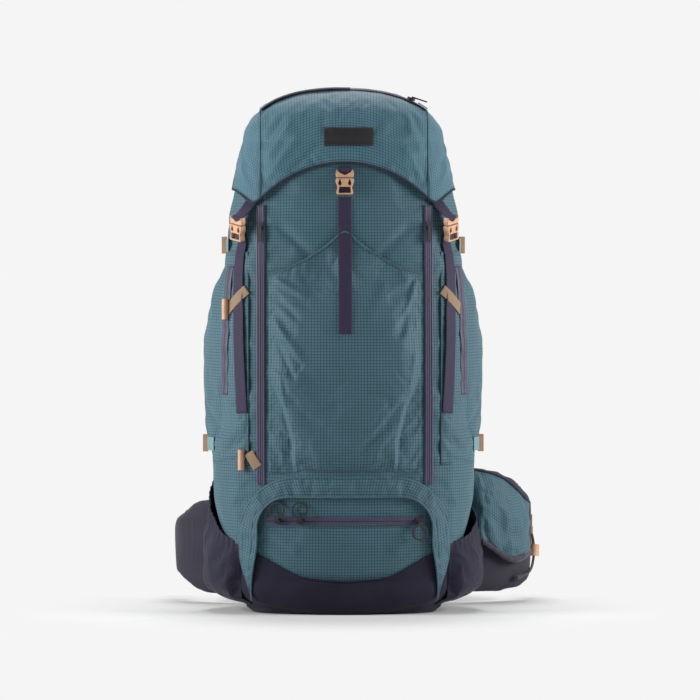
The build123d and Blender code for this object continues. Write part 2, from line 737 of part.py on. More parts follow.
def tongue(plane):
    """Male half, lying in its socket."""
    mid = BUCKLE_THICK / 2
    low, high = SHOULDER_GAP, SHOULDER_GAP + SHOULDER
    with BuildPart() as half:
        add(plate(plane, -TONGUE_WIDTH / 2, TONGUE_WIDTH / 2, -PRONG, low, mid - TONGUE_THICK / 2,
                  mid + TONGUE_THICK / 2))
        add(plate(plane, -BUCKLE_WIDTH / 2, BUCKLE_WIDTH / 2, low, high, 1.0, BUCKLE_THICK - 1))
        add(plate(plane, -slot_half, slot_half, low + 3, high - 3, -1, FAR / 10), mode=Mode.SUBTRACT)
    return half.part


front_buckle_y = front_y(0, FRONT_BUCKLE_Z - SOCKET_HEIGHT) - BUCKLE_OFF
front_hang = hang_plane((0, front_buckle_y, FRONT_BUCKLE_Z), 0, 0)
side_low = corner_point(SIDE_BUCKLE_Z - SOCKET_HEIGHT, SIDE_BUCKLE_TURN, BUCKLE_OFF)
lean_shift = SOCKET_HEIGHT * sin(radians(SIDE_BUCKLE_LEAN))
side_mouth = (side_low[0], side_low[1] - lean_shift, SIDE_BUCKLE_Z)
side_hang = hang_plane(side_mouth, SIDE_BUCKLE_TURN, SIDE_BUCKLE_LEAN)

with BuildPart() as lid_sockets:
    add(socket(front_hang))
    add(socket(side_hang))
    add(socket(side_hang).mirror(Plane.YZ))
keep(lid_sockets, "lid_sockets")

# each lid strap leaves its tongue's bar and lies up on the outside of the lid
STRAP_FOOT = 8.0
lid_face = LID_CLEARANCE + LID_WALL + GAP + WEBBING_THICK / 2
slot_up = SHOULDER_GAP + SHOULDER / 2
front_rise = BADGE_Z - BADGE_HEIGHT / 2 - 2 - FRONT_BUCKLE_Z - SHOULDER_GAP - SHOULDER - STRAP_FOOT
side_rise = 30.0


def lid_strap_points(plane, turn, lean, rise):
    """Side view of a lid strap: from the tongue's slot to where it lies on the lid."""
    points = [(slot_up, BUCKLE_THICK / 2)]
    foot = SHOULDER_GAP + SHOULDER + STRAP_FOOT
    for up in (foot, foot + rise):
        z = plane.origin.Z + up * cos(radians(lean))
        if turn:
            x, y = corner_point(z, turn, lid_face)
        else:
            x, y = 0.0, front_y(0, z, lid_face)
        reach = (Vector(x, y, z) - plane.origin).dot(plane.z_dir)
        points.append((up, reach))
    return points


front_line = lid_strap_points(front_hang, 0, 0, front_rise)
side_line = lid_strap_points(side_hang, SIDE_BUCKLE_TURN, SIDE_BUCKLE_LEAN, side_rise)
with BuildPart() as lid_webbing:
    side_strap = ribbon(side_hang, side_line, WEBBING, WEBBING_THICK)
    add(ribbon(front_hang, front_line, WEBBING, WEBBING_THICK))
    add(side_strap)
    add(side_strap.mirror(Plane.YZ))
    add(lid_form(LID_CLEARANCE + LID_WALL + GAP), mode=Mode.SUBTRACT)
keep(lid_webbing, "lid_webbing")

# the tongues' bars are slit where their webbing passes
with BuildPart() as side_tongue:
    add(tongue(side_hang))
    add(ribbon(side_hang, side_line, WEBBING + 2 * GAP, WEBBING_THICK + 2 * GAP), mode=Mode.SUBTRACT)
with BuildPart() as lid_tongues:
    add(tongue(front_hang))
    add(ribbon(front_hang, front_line, WEBBING + 2 * GAP, WEBBING_THICK + 2 * GAP), mode=Mode.SUBTRACT)
    add(side_tongue.part)
    add(side_tongue.part.mirror(Plane.YZ))
keep(lid_tongues, "lid_tongues")


def laid_strap(low, high, turn, inner, width=WEBBING, thick=WEBBING_THICK):
    """Webbing laid on the body from one surface point to another, over what stands inner out."""
    start, end = Vector(*low), Vector(*high)
    along = (end - start).normalized()
    out = Vector(sin(radians(turn)), -cos(radians(turn)), 0)
    out = (out - along * out.dot(along)).normalized()
    middle = (start + end) / 2
    with BuildPart() as strap:
        add(bag_form(inner + thick))
        add(bag_form(inner), mode=Mode.SUBTRACT)
        with BuildSketch(Plane(middle, x_dir=along.cross(out), z_dir=out)):
            Rectangle(width, (end - start).length)
        extrude(amount=BUCKLE_WIDTH, both=True, mode=Mode.INTERSECT)
    return strap.part


def front_ribbon(levels, width=WEBBING, thick=WEBBING_THICK):
    """Webbing down the middle of the front through (height, how far its middle stands off)."""
    with BuildPart() as strip:
        with BuildSketch(Plane.YZ):
            with BuildLine():
                Polyline(*((front_y(0, z, out), z) for z, out in levels))
            trace(line_width=thick)
        extrude(amount=width / 2, both=True)
    return strip.part


STRAP_STEP = 29.0
laid = GAP + 0.3 + WEBBING_THICK / 2
pocket_levels = [(CENTER_STRAP_LOW + STRAP_STEP * i, POCKET_REACH + laid) for i in range(6)]
strap_high = FRONT_BUCKLE_Z - SOCKET_HEIGHT + 11
side_strap_high = SIDE_BUCKLE_Z - SOCKET_HEIGHT + 11
with BuildPart() as front_straps:
    bare_levels = [(POCKET_PEAK + 24, laid), (strap_high - 24, laid), (strap_high, laid)]
    add(front_ribbon(pocket_levels + bare_levels))
    run = laid_strap(
        (*corner_point(SIDE_STRAP_LOW, SIDE_STRAP_TURN), SIDE_STRAP_LOW),
        (*corner_point(side_strap_high, SIDE_BUCKLE_TURN), side_strap_high),
        (SIDE_STRAP_TURN + SIDE_BUCKLE_TURN) / 2,
        GAP,
    )
    add(run)
    add(run.mirror(Plane.YZ))
keep(front_straps, "front_straps")

# ---------------------------------------------------------------- compression straps on the flanks
UPPER_STRAP_Z = 546.0
LOWER_STRAP_Z = 250.0
COMPRESSION_FRONT_Y = -52.0
LOCK_WIDTH = 25.0
LOCK_HEIGHT = 26.0
LOCK_THICK = 8.0
LOCK_Y = 5.0
with BuildPart() as compression_strap:
    add(bag_form(GAP + WEBBING_THICK))
    add(barrel(GAP + WEBBING_THICK))
    add(skin_gap, mode=Mode.SUBTRACT)
    add(barrel(GAP), mode=Mode.SUBTRACT)
    with Locations(*((FAR / 2 + 140, 0, z) for z in (UPPER_STRAP_Z, LOWER_STRAP_Z))):
        Box(FAR, FAR, WEBBING, mode=Mode.INTERSECT)
    block(140, FAR, COMPRESSION_FRONT_Y, BACK_SEAM_Y, 0, FAR * 2, mode=Mode.INTERSECT)
compression_left, compression_right = both_sides(compression_strap)
with BuildPart() as compression_straps:
    add(compression_left.part)
    add(compression_right.part)
keep(compression_straps, "compression_straps")

upper_lock_x = half_width(UPPER_STRAP_Z - LOCK_WIDTH / 2) + 2 * GAP + WEBBING_THICK
lock_drop = SIDE_POCKET_MID - LOWER_STRAP_Z - LOCK_WIDTH / 2
lock_sag = side_low_radius - sqrt(side_low_radius**2 - lock_drop**2)
lower_lock_x = SIDE_POCKET_X + SIDE_POCKET_RADIUS - lock_sag + 2 * GAP + WEBBING_THICK


def ladder_lock(plane):
    """Ladder-lock: a frame with two slots between three bars; the plane's up is along its webbing."""
    with BuildPart() as lock:
        add(plate(plane, -LOCK_WIDTH / 2, LOCK_WIDTH / 2, -LOCK_HEIGHT / 2, LOCK_HEIGHT / 2, 0, LOCK_THICK))
        for low in (-8.5, 3.0):
            add(plate(plane, -slot_half, slot_half, low, low + 5.5, -1, FAR / 10), mode=Mode.SUBTRACT)
    return lock.part


with BuildPart() as compression_lock:
    for x, z in ((upper_lock_x, UPPER_STRAP_Z), (lower_lock_x, LOWER_STRAP_Z)):
        add(ladder_lock(Plane((x, LOCK_Y, z), x_dir=Vector(0, 0, 1), z_dir=Vector(1, 0, 0))))
compression_lock_left, compression_lock_right = both_sides(compression_lock)

# the lid's rear straps run down the back through ladder-locks of their own
REAR_STRAP_X = 100.0
REAR_STRAP_OUT = 7.6
REAR_STRAP_LOW = 478.0
REAR_LOCK_Z = 600.0
REAR_LOCK_HEIGHT = 14.0
REAR_CLEARANCE = 1.0
strap_y = BACK_DEPTH + REAR_STRAP_OUT
with BuildPart() as lid_rear_straps:
    for side in (-1, 1):
        x = side * REAR_STRAP_X
        block(x - WEBBING / 2, x + WEBBING / 2, strap_y, strap_y + WEBBING_THICK, REAR_STRAP_LOW,
              LID_BACK_EDGE - GAP)
keep(lid_rear_straps, "lid_rear_straps")

with BuildPart() as fixed_locks:
    add(compression_lock_left.part)
    add(compression_lock_right.part)
keep(fixed_locks, "ladder_locks")

with BuildPart() as rear_locks:
    for side in (-1, 1):
        x, half = side * REAR_STRAP_X, WEBBING / 2 + REAR_CLEARANCE
        low, high = REAR_LOCK_Z - REAR_LOCK_HEIGHT / 2, REAR_LOCK_Z + REAR_LOCK_HEIGHT / 2
        block(x - half - 2, x + half + 2, BACK_DEPTH + GAP, strap_y + WEBBING_THICK + 4, low, high)
        block(
            x - half, x + half, strap_y - REAR_CLEARANCE, strap_y + WEBBING_THICK + REAR_CLEARANCE, low - 1,
            high + 1, mode=Mode.SUBTRACT,
        )
keep(rear_locks, "rear_ladder_locks")

# ---------------------------------------------------------------- pole holders beside the front zips
POLE_LOOP_WIDTH = 15.0
TOGGLE_RADIUS = 5.0
TOGGLE_LENGTH = 30.0
upper_loop = ((*corner_point(482, 34), 482.0), (*corner_point(446, 66), 446.0))
lower_loop = ((*corner_point(241, 30), 241.0), (*corner_point(219, 20), 219.0))
with BuildPart() as pole_loops:
    high_run = laid_strap(upper_loop[1], upper_loop[0], 50, GAP + TAPE_THICK + GAP, POLE_LOOP_WIDTH)
    low_run = laid_strap(lower_loop[1], lower_loop[0], 25, GAP + TAPE_THICK + GAP, POLE_LOOP_WIDTH)
    add(high_run)
    for run in (high_run, low_run):
        add(run.mirror(Plane.YZ))
keep(pole_loops, "pole_loops")

TOGGLE_CLEARANCE = 0.8
low_toggle_out = TOGGLE_CLEARANCE + TOGGLE_RADIUS
high_toggle_out = low_toggle_out + TAPE_THICK + 2 * GAP + WEBBING_THICK
with BuildPart() as pole_toggle:
    for z, turn, out in ((452.0, 62.0, high_toggle_out), (230.0, 38.5, low_toggle_out)):
        with Locations((*corner_point(z, turn, out), z)):
            Cylinder(TOGGLE_RADIUS, TOGGLE_LENGTH)
pole_toggles, _ = both_sides(pole_toggle)
keep(pole_toggles, "pole_toggles")

# ---------------------------------------------------------------- harness on the back
PAD_INNER = 16.0
PAD_OUTER = 86.0
PAD_LOW = 226.0
PAD_HIGH = 560.0
PAD_THICK = 16.0
LUMBAR_HALF = 88.0
LUMBAR_LOW = 58.0
LUMBAR_HIGH = 206.0
LUMBAR_THICK = 38.0
back_face = BACK_DEPTH + GAP
with BuildPart() as back_pads:
    with BuildSketch(Plane.XZ.offset(-back_face)):
        with Locations(*((x * (PAD_INNER + PAD_OUTER) / 2, (PAD_LOW + PAD_HIGH) / 2) for x in (-1, 1))):
            RectangleRounded(PAD_OUTER - PAD_INNER, PAD_HIGH - PAD_LOW, 25)
    extrude(amount=-PAD_THICK)
    fillet(back_pads.faces().group_by(Axis.Y)[-1].edges(), 8)
with BuildPart() as lumbar_pad:
    with BuildSketch(Plane.XZ.offset(-back_face)):
        with Locations((0, (LUMBAR_LOW + LUMBAR_HIGH) / 2)):
            RectangleRounded(2 * LUMBAR_HALF, LUMBAR_HIGH - LUMBAR_LOW, 35)
    extrude(amount=-LUMBAR_THICK)
    fillet(lumbar_pad.faces().sort_by(Axis.Y)[-1].edges(), 10)
with BuildPart() as padding:
    add(back_pads.part)
    add(lumbar_pad.part)
keep(padding, "back_pads")

# haul loop
HAUL_HALF = 38.0
HAUL_Z = 612.0
HAUL_REACH = 36.0
with BuildPart() as haul_loop:
    with BuildSketch(Plane.XY.offset(HAUL_Z - WEBBING / 2)):
        with BuildLine():
            y = back_face
            Spline((-HAUL_HALF, y), (0, y + HAUL_REACH), (HAUL_HALF, y), tangents=((0, 1), (0, -1)))
        trace(line_width=2 * WEBBING_THICK)
    extrude(amount=WEBBING)
    block(-FAR, FAR, back_face, FAR, 0, FAR * 2, mode=Mode.INTERSECT)
keep(haul_loop, "haul_loop")

# shoulder straps: padded, bowed away from the back, webbing at their lower ends
SHOULDER_THICK = 12.0
SHOULDER_SIDE = (
    (104.0, 570.0), (150.0, 588.0), (186.0, 555.0), (204.0, 480.0), (205.0, 400.0), (186.0, 322.0),
)
SHOULDER_VIEW = (
    (42.0, 610.0), (83.0, 610.0), (90.0, 520.0), (112.0, 420.0), (142.0, 322.0), (142.0, 290.0),
    (88.0, 290.0), (74.0, 340.0), (44.0, 420.0), (30.0, 520.0),
)
LOWER_ANCHOR = (111.8, 246.0)
SHOULDER_END_X = 115.0
with BuildPart() as shoulder_strap:
    with BuildSketch(Plane.YZ):
        with BuildLine():
            Spline(*SHOULDER_SIDE)
        trace(line_width=SHOULDER_THICK)
    extrude(amount=FAR)
    with BuildSketch(Plane.XZ):
        with BuildLine():
            Polyline(*SHOULDER_VIEW, SHOULDER_VIEW[0])
        make_face()
    extrude(amount=-FAR, mode=Mode.INTERSECT)
    block(0, FAR, back_face, FAR, 0, FAR * 2, mode=Mode.INTERSECT)
shoulder_left, shoulder_right = both_sides(shoulder_strap)
keep(shoulder_left, "shoulder_strap_left")
keep(shoulder_right, "shoulder_strap_right")

# at the end of each shoulder strap a ladder-lock and the webbing that runs down to the back
tip = Vector(0, SHOULDER_SIDE[-2][0] - SHOULDER_SIDE[-1][0], SHOULDER_SIDE[-2][1] - SHOULDER_SIDE[-1][1])
tip_up = tip.normalized()
lock_mid = Vector(SHOULDER_END_X, *SHOULDER_SIDE[-1]) - tip_up * (LOCK_HEIGHT / 2 + 1)
lock_plane = Plane(lock_mid, x_dir=Vector(1, 0, 0), z_dir=Vector(1, 0, 0).cross(tip_up))
web_start = lock_mid + tip_up * 5
with BuildPart() as shoulder_webbing:
    add(ladder_lock(lock_plane.offset(-LOCK_THICK / 2)))
    with BuildSketch(Plane.YZ.offset(SHOULDER_END_X - WEBBING / 2)):
        with BuildLine():
            Polyline(
                (web_start.Y, web_start.Z),
                (lock_mid.Y - 5, lock_mid.Z - 6),
                (LOWER_ANCHOR[0] + 14, LOWER_ANCHOR[1] + 16),
                LOWER_ANCHOR,
            )
        trace(line_width=WEBBING_THICK)
    extrude(amount=WEBBING)
webbing_left, webbing_right = both_sides(shoulder_webbing)
keep(webbing_left, "shoulder_webbing_left")
keep(webbing_right, "shoulder_webbing_right")

# sternum strap, unbuckled: each half reaches in from its shoulder strap
STERNUM_Z = 470.0
STERNUM_INNER = 9.0
STERNUM_OUTER = 58.0
STERNUM_Y = SHOULDER_SIDE[4][0] + SHOULDER_THICK / 2 + 2 * GAP
with BuildPart() as sternum_half:
    x, end = STERNUM_INNER, STERNUM_INNER + SOCKET_HEIGHT
    block(x, end, STERNUM_Y, STERNUM_Y + LOCK_THICK, STERNUM_Z - LOCK_WIDTH / 2, STERNUM_Z + LOCK_WIDTH / 2)
    block(end - 7, end - 3, 0, FAR, STERNUM_Z - slot_half, STERNUM_Z + slot_half, mode=Mode.SUBTRACT)
    block(
        end - 5, STERNUM_OUTER, STERNUM_Y + 0.2, STERNUM_Y + 0.2 + WEBBING_THICK,
        STERNUM_Z - WEBBING / 2, STERNUM_Z + WEBBING / 2,
    )
sternum_left, sternum_right = both_sides(sternum_half)
keep(sternum_left, "sternum_half_left")
keep(sternum_right, "sternum_half_right")

# ---------------------------------------------------------------- hip belt
WING_THICK = 14.0
WING_TANGENTS = ((1, 0), (0, 1))
WING_PATH_RIGHT = ((88.9, 140.0), (196.0, 150.0), (275.0, 205.0), (281.0, 285.0))
WING_PATH_LEFT = ((88.9, 140.0), (180.0, 147.0), (237.0, 190.0), (243.0, 272.0))
WING_VIEW_RIGHT = (
    (80.0, 197.0), (150.0, 213.0), (193.0, 211.0), (235.0, 203.0), (264.0, 188.0), (281.0, 168.0),
    (303.0, 146.0), (303.0, 45.0), (274.0, 20.0), (240.0, 13.0), (150.0, 14.0), (80.0, 36.0),
)
WING_VIEW_LEFT = (
    (80.0, 160.0), (180.0, 162.0), (209.0, 159.0), (224.0, 153.0), (236.0, 140.0), (252.0, 124.0),
    (270.0, 112.0), (270.0, 50.0), (252.0, 46.0), (238.0, 32.0), (224.0, 20.0), (207.0, 13.0),
    (188.0, 11.0), (80.0, 14.0),
)
WING_TIP_RIGHT = (
    (0.0, 300.0), (200.0, 300.0), (250.0, 146.0), (295.0, 116.0), (295.0, 50.0), (235.0, 14.0),
    (0.0, 9.0),
)
WING_TIP_LEFT = (
    (0.0, 300.0), (184.0, 300.0), (210.0, 146.0), (240.0, 128.0), (285.0, 108.0), (285.0, 66.0),
    (235.0, 32.0), (200.0, 12.0), (0.0, 9.0),
)


def wing_band(path, outer, inner):
    """Solid along a wing's path between two distances from it, on its outer side."""
    with BuildPart() as band:
        with BuildSketch(Plane.XY):
            with BuildLine():
                Spline(*path, tangents=WING_TANGENTS)
            trace(line_width=2 * outer)
        extrude(amount=FAR)
        if inner:
            with BuildSketch(Plane.XY):
                with BuildLine():
                    Spline(*path, tangents=WING_TANGENTS)
                trace(line_width=2 * inner)
            extrude(amount=FAR, mode=Mode.SUBTRACT)
    return band.part.solids().sort_by(Axis.Y)[0] if inner else band.part


def view_block(view, tip):
    """Everything inside a front view and a side view."""
    with BuildPart() as room:
        with BuildSketch(Plane.XZ):
            with BuildLine():
                Polyline(*view, view[0])
            make_face()
        extrude(amount=-FAR)
        with BuildSketch(Plane.YZ):
            with BuildLine():
                Polyline(*tip, tip[0])
            make_face()
        extrude(amount=FAR, mode=Mode.INTERSECT)
    return room.part


with BuildPart() as hip_wing_right:
    add(wing_band(WING_PATH_RIGHT, WING_THICK / 2, 0))
    add(view_block(WING_VIEW_RIGHT, WING_TIP_RIGHT), mode=Mode.INTERSECT)
keep(hip_wing_right, "hip_wing_right")
with BuildPart() as hip_wing_left:
    add(wing_band(WING_PATH_LEFT, WING_THICK / 2, 0))
    add(view_block(WING_VIEW_LEFT, WING_TIP_LEFT), mode=Mode.INTERSECT)
    left_wing = hip_wing_left.part.mirror(Plane.YZ)
with BuildPart() as hip_wing_left:
    add(left_wing)
keep(hip_wing_left, "hip_wing_left")

# pocket on the right wing, open along its slanting lower edge
HIP_POCKET_REACH = 17.0
HIP_POCKET_WALL = 2.5
HIP_POCKET_VIEW = (
    (172.0, 205.0), (194.0, 205.0), (236.0, 195.0), (262.0, 180.0), (279.0, 158.0), (297.0, 140.0),
    (297.0, 76.0), (264.0, 57.0), (172.0, 124.0),
)
HIP_HOLLOW_VIEW = (
    (175.0, 202.0), (193.0, 202.0), (234.5, 192.0), (259.5, 177.0), (276.0, 155.5), (288.0, 140.0),
    (288.0, 52.0), (264.0, 32.0), (175.0, 98.0),
)
HIP_POCKET_END = 236.0
HIP_POCKET_TIP = ((0.0, 300.0), (HIP_POCKET_END, 300.0), (HIP_POCKET_END, 0.0), (0.0, 0.0))
hollow_end = HIP_POCKET_END - 3
HIP_HOLLOW_TIP = ((0.0, 300.0), (hollow_end, 300.0), (hollow_end, 0.0), (0.0, 0.0))
half_wing = WING_THICK / 2
with BuildPart() as hip_pocket:
    add(wing_band(WING_PATH_RIGHT, half_wing + HIP_POCKET_REACH, half_wing + GAP))
    add(view_block(HIP_POCKET_VIEW, HIP_POCKET_TIP), mode=Mode.INTERSECT)
    with BuildPart(mode=Mode.PRIVATE) as hip_hollow:
        add(wing_band(WING_PATH_RIGHT, half_wing + HIP_POCKET_REACH - HIP_POCKET_WALL, half_wing))
        add(view_block(HIP_HOLLOW_VIEW, HIP_HOLLOW_TIP), mode=Mode.INTERSECT)
    add(hip_hollow.part, mode=Mode.SUBTRACT)
keep(hip_pocket, "hip_pocket")

# belt webbing, ladder-lock and the buckle's two halves at the wings' tips
BELT_WEBBING = 25.0
BELT_THICK = 2.0
HIP_LOCK_HEIGHT = 42.0
HIP_LOCK_THICK = 9.0
HIP_LOCK_LENGTH = 19.0
HIP_LOCK_Y = 265.0
HIP_LOCK_Z = 88.0
HIP_END = 24.0
tip_right, tip_left = WING_PATH_RIGHT[-1], WING_PATH_LEFT[-1]
lock_x = tip_right[0] + half_wing + GAP
with BuildPart() as hip_lock:
    block(lock_x, lock_x + HIP_LOCK_THICK, HIP_LOCK_Y, HIP_LOCK_Y + HIP_LOCK_LENGTH,
          HIP_LOCK_Z - HIP_LOCK_HEIGHT / 2, HIP_LOCK_Z + HIP_LOCK_HEIGHT / 2)
    for low in (3.0, 12.0):
        block(0, FAR, HIP_LOCK_Y + low, HIP_LOCK_Y + low + 5, HIP_LOCK_Z - BELT_WEBBING / 2 - 1,
              HIP_LOCK_Z + BELT_WEBBING / 2 + 1, mode=Mode.SUBTRACT)
keep(hip_lock, "hip_ladder_lock")


def belt_end(tip, y0, y1, out):
    """Belt webbing that goes on from a wing's tip."""
    block(tip[0] - BELT_THICK / 2 + out, tip[0] + BELT_THICK / 2 + out, y0, y1,
          HIP_LOCK_Z - BELT_WEBBING / 2, HIP_LOCK_Z + BELT_WEBBING / 2)


def belt_buckle(tip, y0, thick):
    """Block of a buckle half with a slot for its webbing and a slit through the bar in front."""
    block(tip[0] - thick / 2, tip[0] + thick / 2, y0, y0 + SOCKET_HEIGHT + 4,
          HIP_LOCK_Z - BELT_WEBBING / 2 - 4, HIP_LOCK_Z + BELT_WEBBING / 2 + 4)
    for deep, start, end in ((thick, 3, 9), (BELT_THICK / 2 + GAP, -1, 4)):
        block(tip[0] - deep, tip[0] + deep, y0 + start, y0 + end, HIP_LOCK_Z - BELT_WEBBING / 2 - 1,
              HIP_LOCK_Z + BELT_WEBBING / 2 + 1, mode=Mode.SUBTRACT)


with BuildPart() as hip_webbing_right:
    belt_end(tip_right, tip_right[1] + GAP, tip_right[1] + HIP_END + 6, 0)
keep(hip_webbing_right, "hip_webbing_right")
with BuildPart() as hip_buckle_right:
    belt_buckle(tip_right, tip_right[1] + HIP_END, 12)
keep(hip_buckle_right, "hip_buckle_right")
with BuildPart() as belt_left:
    belt_end(tip_left, tip_left[1] + GAP, tip_left[1] + HIP_END + 6, 0)
hip_webbing_left, _ = both_sides(belt_left)
keep(hip_webbing_left, "hip_webbing_left")
with BuildPart() as socket_left:
    belt_buckle(tip_left, tip_left[1] + HIP_END, 14)
hip_buckle_left, _ = both_sides(socket_left)
keep(hip_buckle_left, "hip_buckle_left")

# pull tab, cord lock and shock cord at the hip pocket's end
TAB_X = 294.0
TAB_LOW = 101.0
TAB_HIGH = 129.0
SHOCK_CORD = 4.0
CORD_POINTS = (
    (294.5, 246.0, 99.5), (298.5, 247.0, 84.0), (297.5, 245.0, 60.0), (293.0, 226.0, 46.0),
    (284.5, 196.0, 39.0), (267.0, 172.0, 36.0),
)
CORD_LOCK_RADIUS = 8.0
CORD_LOCK_HEIGHT = 18.0
CORD_LOCK_BORE = 7.0
with BuildPart() as hip_tab:
    block(TAB_X - 2, TAB_X + 1, HIP_POCKET_END + GAP, CORD_POINTS[0][1] + 5, TAB_LOW, TAB_HIGH)
keep(hip_tab, "hip_pull_tab")
bends = []
for before, here, after in zip(CORD_POINTS, CORD_POINTS[1:], CORD_POINTS[2:]):
    a, b = Vector(*here) - Vector(*before), Vector(*after) - Vector(*here)
    turn = radians(a.get_angle(b))
    bends.append(0.45 * min(a.length, b.length) / (sin(turn / 2) / cos(turn / 2)))
print("cord radii", [round(bend, 1) for bend in bends])
with BuildPart() as hip_cord:
    with BuildLine() as cord_line:
        FilletPolyline(*CORD_POINTS, radius=bends)
    with BuildSketch(Plane(CORD_POINTS[0], z_dir=cord_line.line % 0)):
        Circle(SHOCK_CORD / 2)
    sweep()
keep(hip_cord, "hip_cord")
with BuildPart() as hip_cord_lock:
    lock_axis = Vector(*CORD_POINTS[2]) - Vector(*CORD_POINTS[1])
    lock_at = Vector(*CORD_POINTS[1]) + lock_axis * 0.42
    with Locations(Location(Plane(lock_at, z_dir=lock_axis))):
        Cylinder(CORD_LOCK_RADIUS, CORD_LOCK_HEIGHT)
        Cylinder(CORD_LOCK_BORE / 2, CORD_LOCK_HEIGHT * 2, mode=Mode.SUBTRACT)
keep(hip_cord_lock, "hip_cord_lock")
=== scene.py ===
"""Trekking backpack: fabrics, webbing, buckles and padding over its CAD frame."""

import json
import math

import bmesh
import bpy
import numpy as np
from mathutils import Matrix, Vector
from mathutils.bvhtree import BVHTree

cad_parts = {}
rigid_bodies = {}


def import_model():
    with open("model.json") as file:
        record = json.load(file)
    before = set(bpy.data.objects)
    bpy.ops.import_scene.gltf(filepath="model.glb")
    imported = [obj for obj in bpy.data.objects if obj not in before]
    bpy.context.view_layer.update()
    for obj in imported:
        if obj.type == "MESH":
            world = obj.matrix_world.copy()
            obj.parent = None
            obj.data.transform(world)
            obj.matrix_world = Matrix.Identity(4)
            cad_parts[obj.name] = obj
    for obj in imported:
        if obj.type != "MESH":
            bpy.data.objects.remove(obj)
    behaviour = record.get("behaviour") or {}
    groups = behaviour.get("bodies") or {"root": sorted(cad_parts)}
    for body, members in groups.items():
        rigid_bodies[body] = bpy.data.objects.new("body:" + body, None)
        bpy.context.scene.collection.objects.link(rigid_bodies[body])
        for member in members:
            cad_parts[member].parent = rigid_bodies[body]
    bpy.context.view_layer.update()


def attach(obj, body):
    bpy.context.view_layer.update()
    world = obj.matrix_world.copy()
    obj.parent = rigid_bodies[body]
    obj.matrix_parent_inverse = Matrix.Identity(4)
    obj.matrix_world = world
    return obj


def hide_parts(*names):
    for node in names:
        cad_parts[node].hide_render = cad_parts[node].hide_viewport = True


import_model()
for thing in bpy.context.scene.objects:
    thing.select_set(False)

MM = 0.001

# ---------------------------------------------------------------- the pack's driving sizes, in metres
BODY_BOTTOM, BODY_TOP = 50 * MM, 676 * MM
WIDEST_Z, HALF_WIDTH = 320 * MM, 179 * MM
TOP_NARROWING, FOOT_NARROWING = 31 * MM, 12 * MM
FRONT_DEPTH, FRONT_BULGE_Z, FRONT_RADIUS = 152 * MM, 300 * MM, 1.5
BACK_DEPTH, FRONT_CROWN = 110 * MM, 40 * MM
FRONT_CORNER, BACK_CORNER = 75 * MM, 35 * MM
FRONT_SEAM = 118 * MM
FRONT_ZIP_X, BOTTOM_ZIP_Z = 123.5 * MM, 140 * MM
COMPRESSION_LEVELS = {"upper": 546 * MM, "lower": 250 * MM}

LID_OUT = 7 * MM
DOME_START, LID_TOP = 700 * MM, 778 * MM
DOME_POWER = 2.2
LID_ARCH_HALF, LID_ARCH_TOP, LID_EAR_Z = 144 * MM, 669 * MM, 589 * MM
LID_BACK_EDGE = 687 * MM

WEBBING = 20 * MM
WEBBING_THICK = 1.6 * MM
MOST_ASIDE, MOST_SUNK = 3 * MM, 1.5 * MM
SIDES = ((1, "right"), (-1, "left"))
FLIP = np.array([-1.0, 1.0, 1.0])


# ---------------------------------------------------------------- surfaces of the bag
def half_width(z):
    """Half of the bag's width at height z: widest low down, narrower to its top."""
    above = HALF_WIDTH - TOP_NARROWING * (np.maximum(z - WIDEST_Z, 0) / (BODY_TOP - WIDEST_Z)) ** 2.8
    below = FOOT_NARROWING * (np.maximum(WIDEST_Z - z, 0) / (WIDEST_Z - BODY_BOTTOM)) ** 2
    return above - below


def front_depth(z):
    """How far the bag's front stands before its middle at height z."""
    return FRONT_DEPTH - FRONT_RADIUS + np.sqrt(FRONT_RADIUS**2 - (z - FRONT_BULGE_Z) ** 2)


def bag_sizes(z):
    """Half width, front, back, crown and corners of the bag's plan at height z."""
    one = np.ones_like(z)
    return (
        half_width(z), front_depth(z), BACK_DEPTH * one, FRONT_CROWN * one, FRONT_CORNER * one,
        BACK_CORNER * one,
    )


def plan_arcs(half, front, back, crown, corner, back_corner):
    """Radii, centres and running lengths of one half of a plan: bow, corner, flank, corner, back."""
    bow = (half**2 + crown**2) / (2 * crown)
    middle = bow - front
    corner_x = half - corner
    corner_y = middle - np.sqrt((bow - corner) ** 2 - corner_x**2)
    turn = np.arcsin(corner_x / (bow - corner))
    lengths = (
        bow * turn, corner * (math.pi / 2 - turn), back - back_corner - corner_y,
        back_corner * math.pi / 2, half - back_corner,
    )
    return bow, middle, corner_x, corner_y, turn, lengths


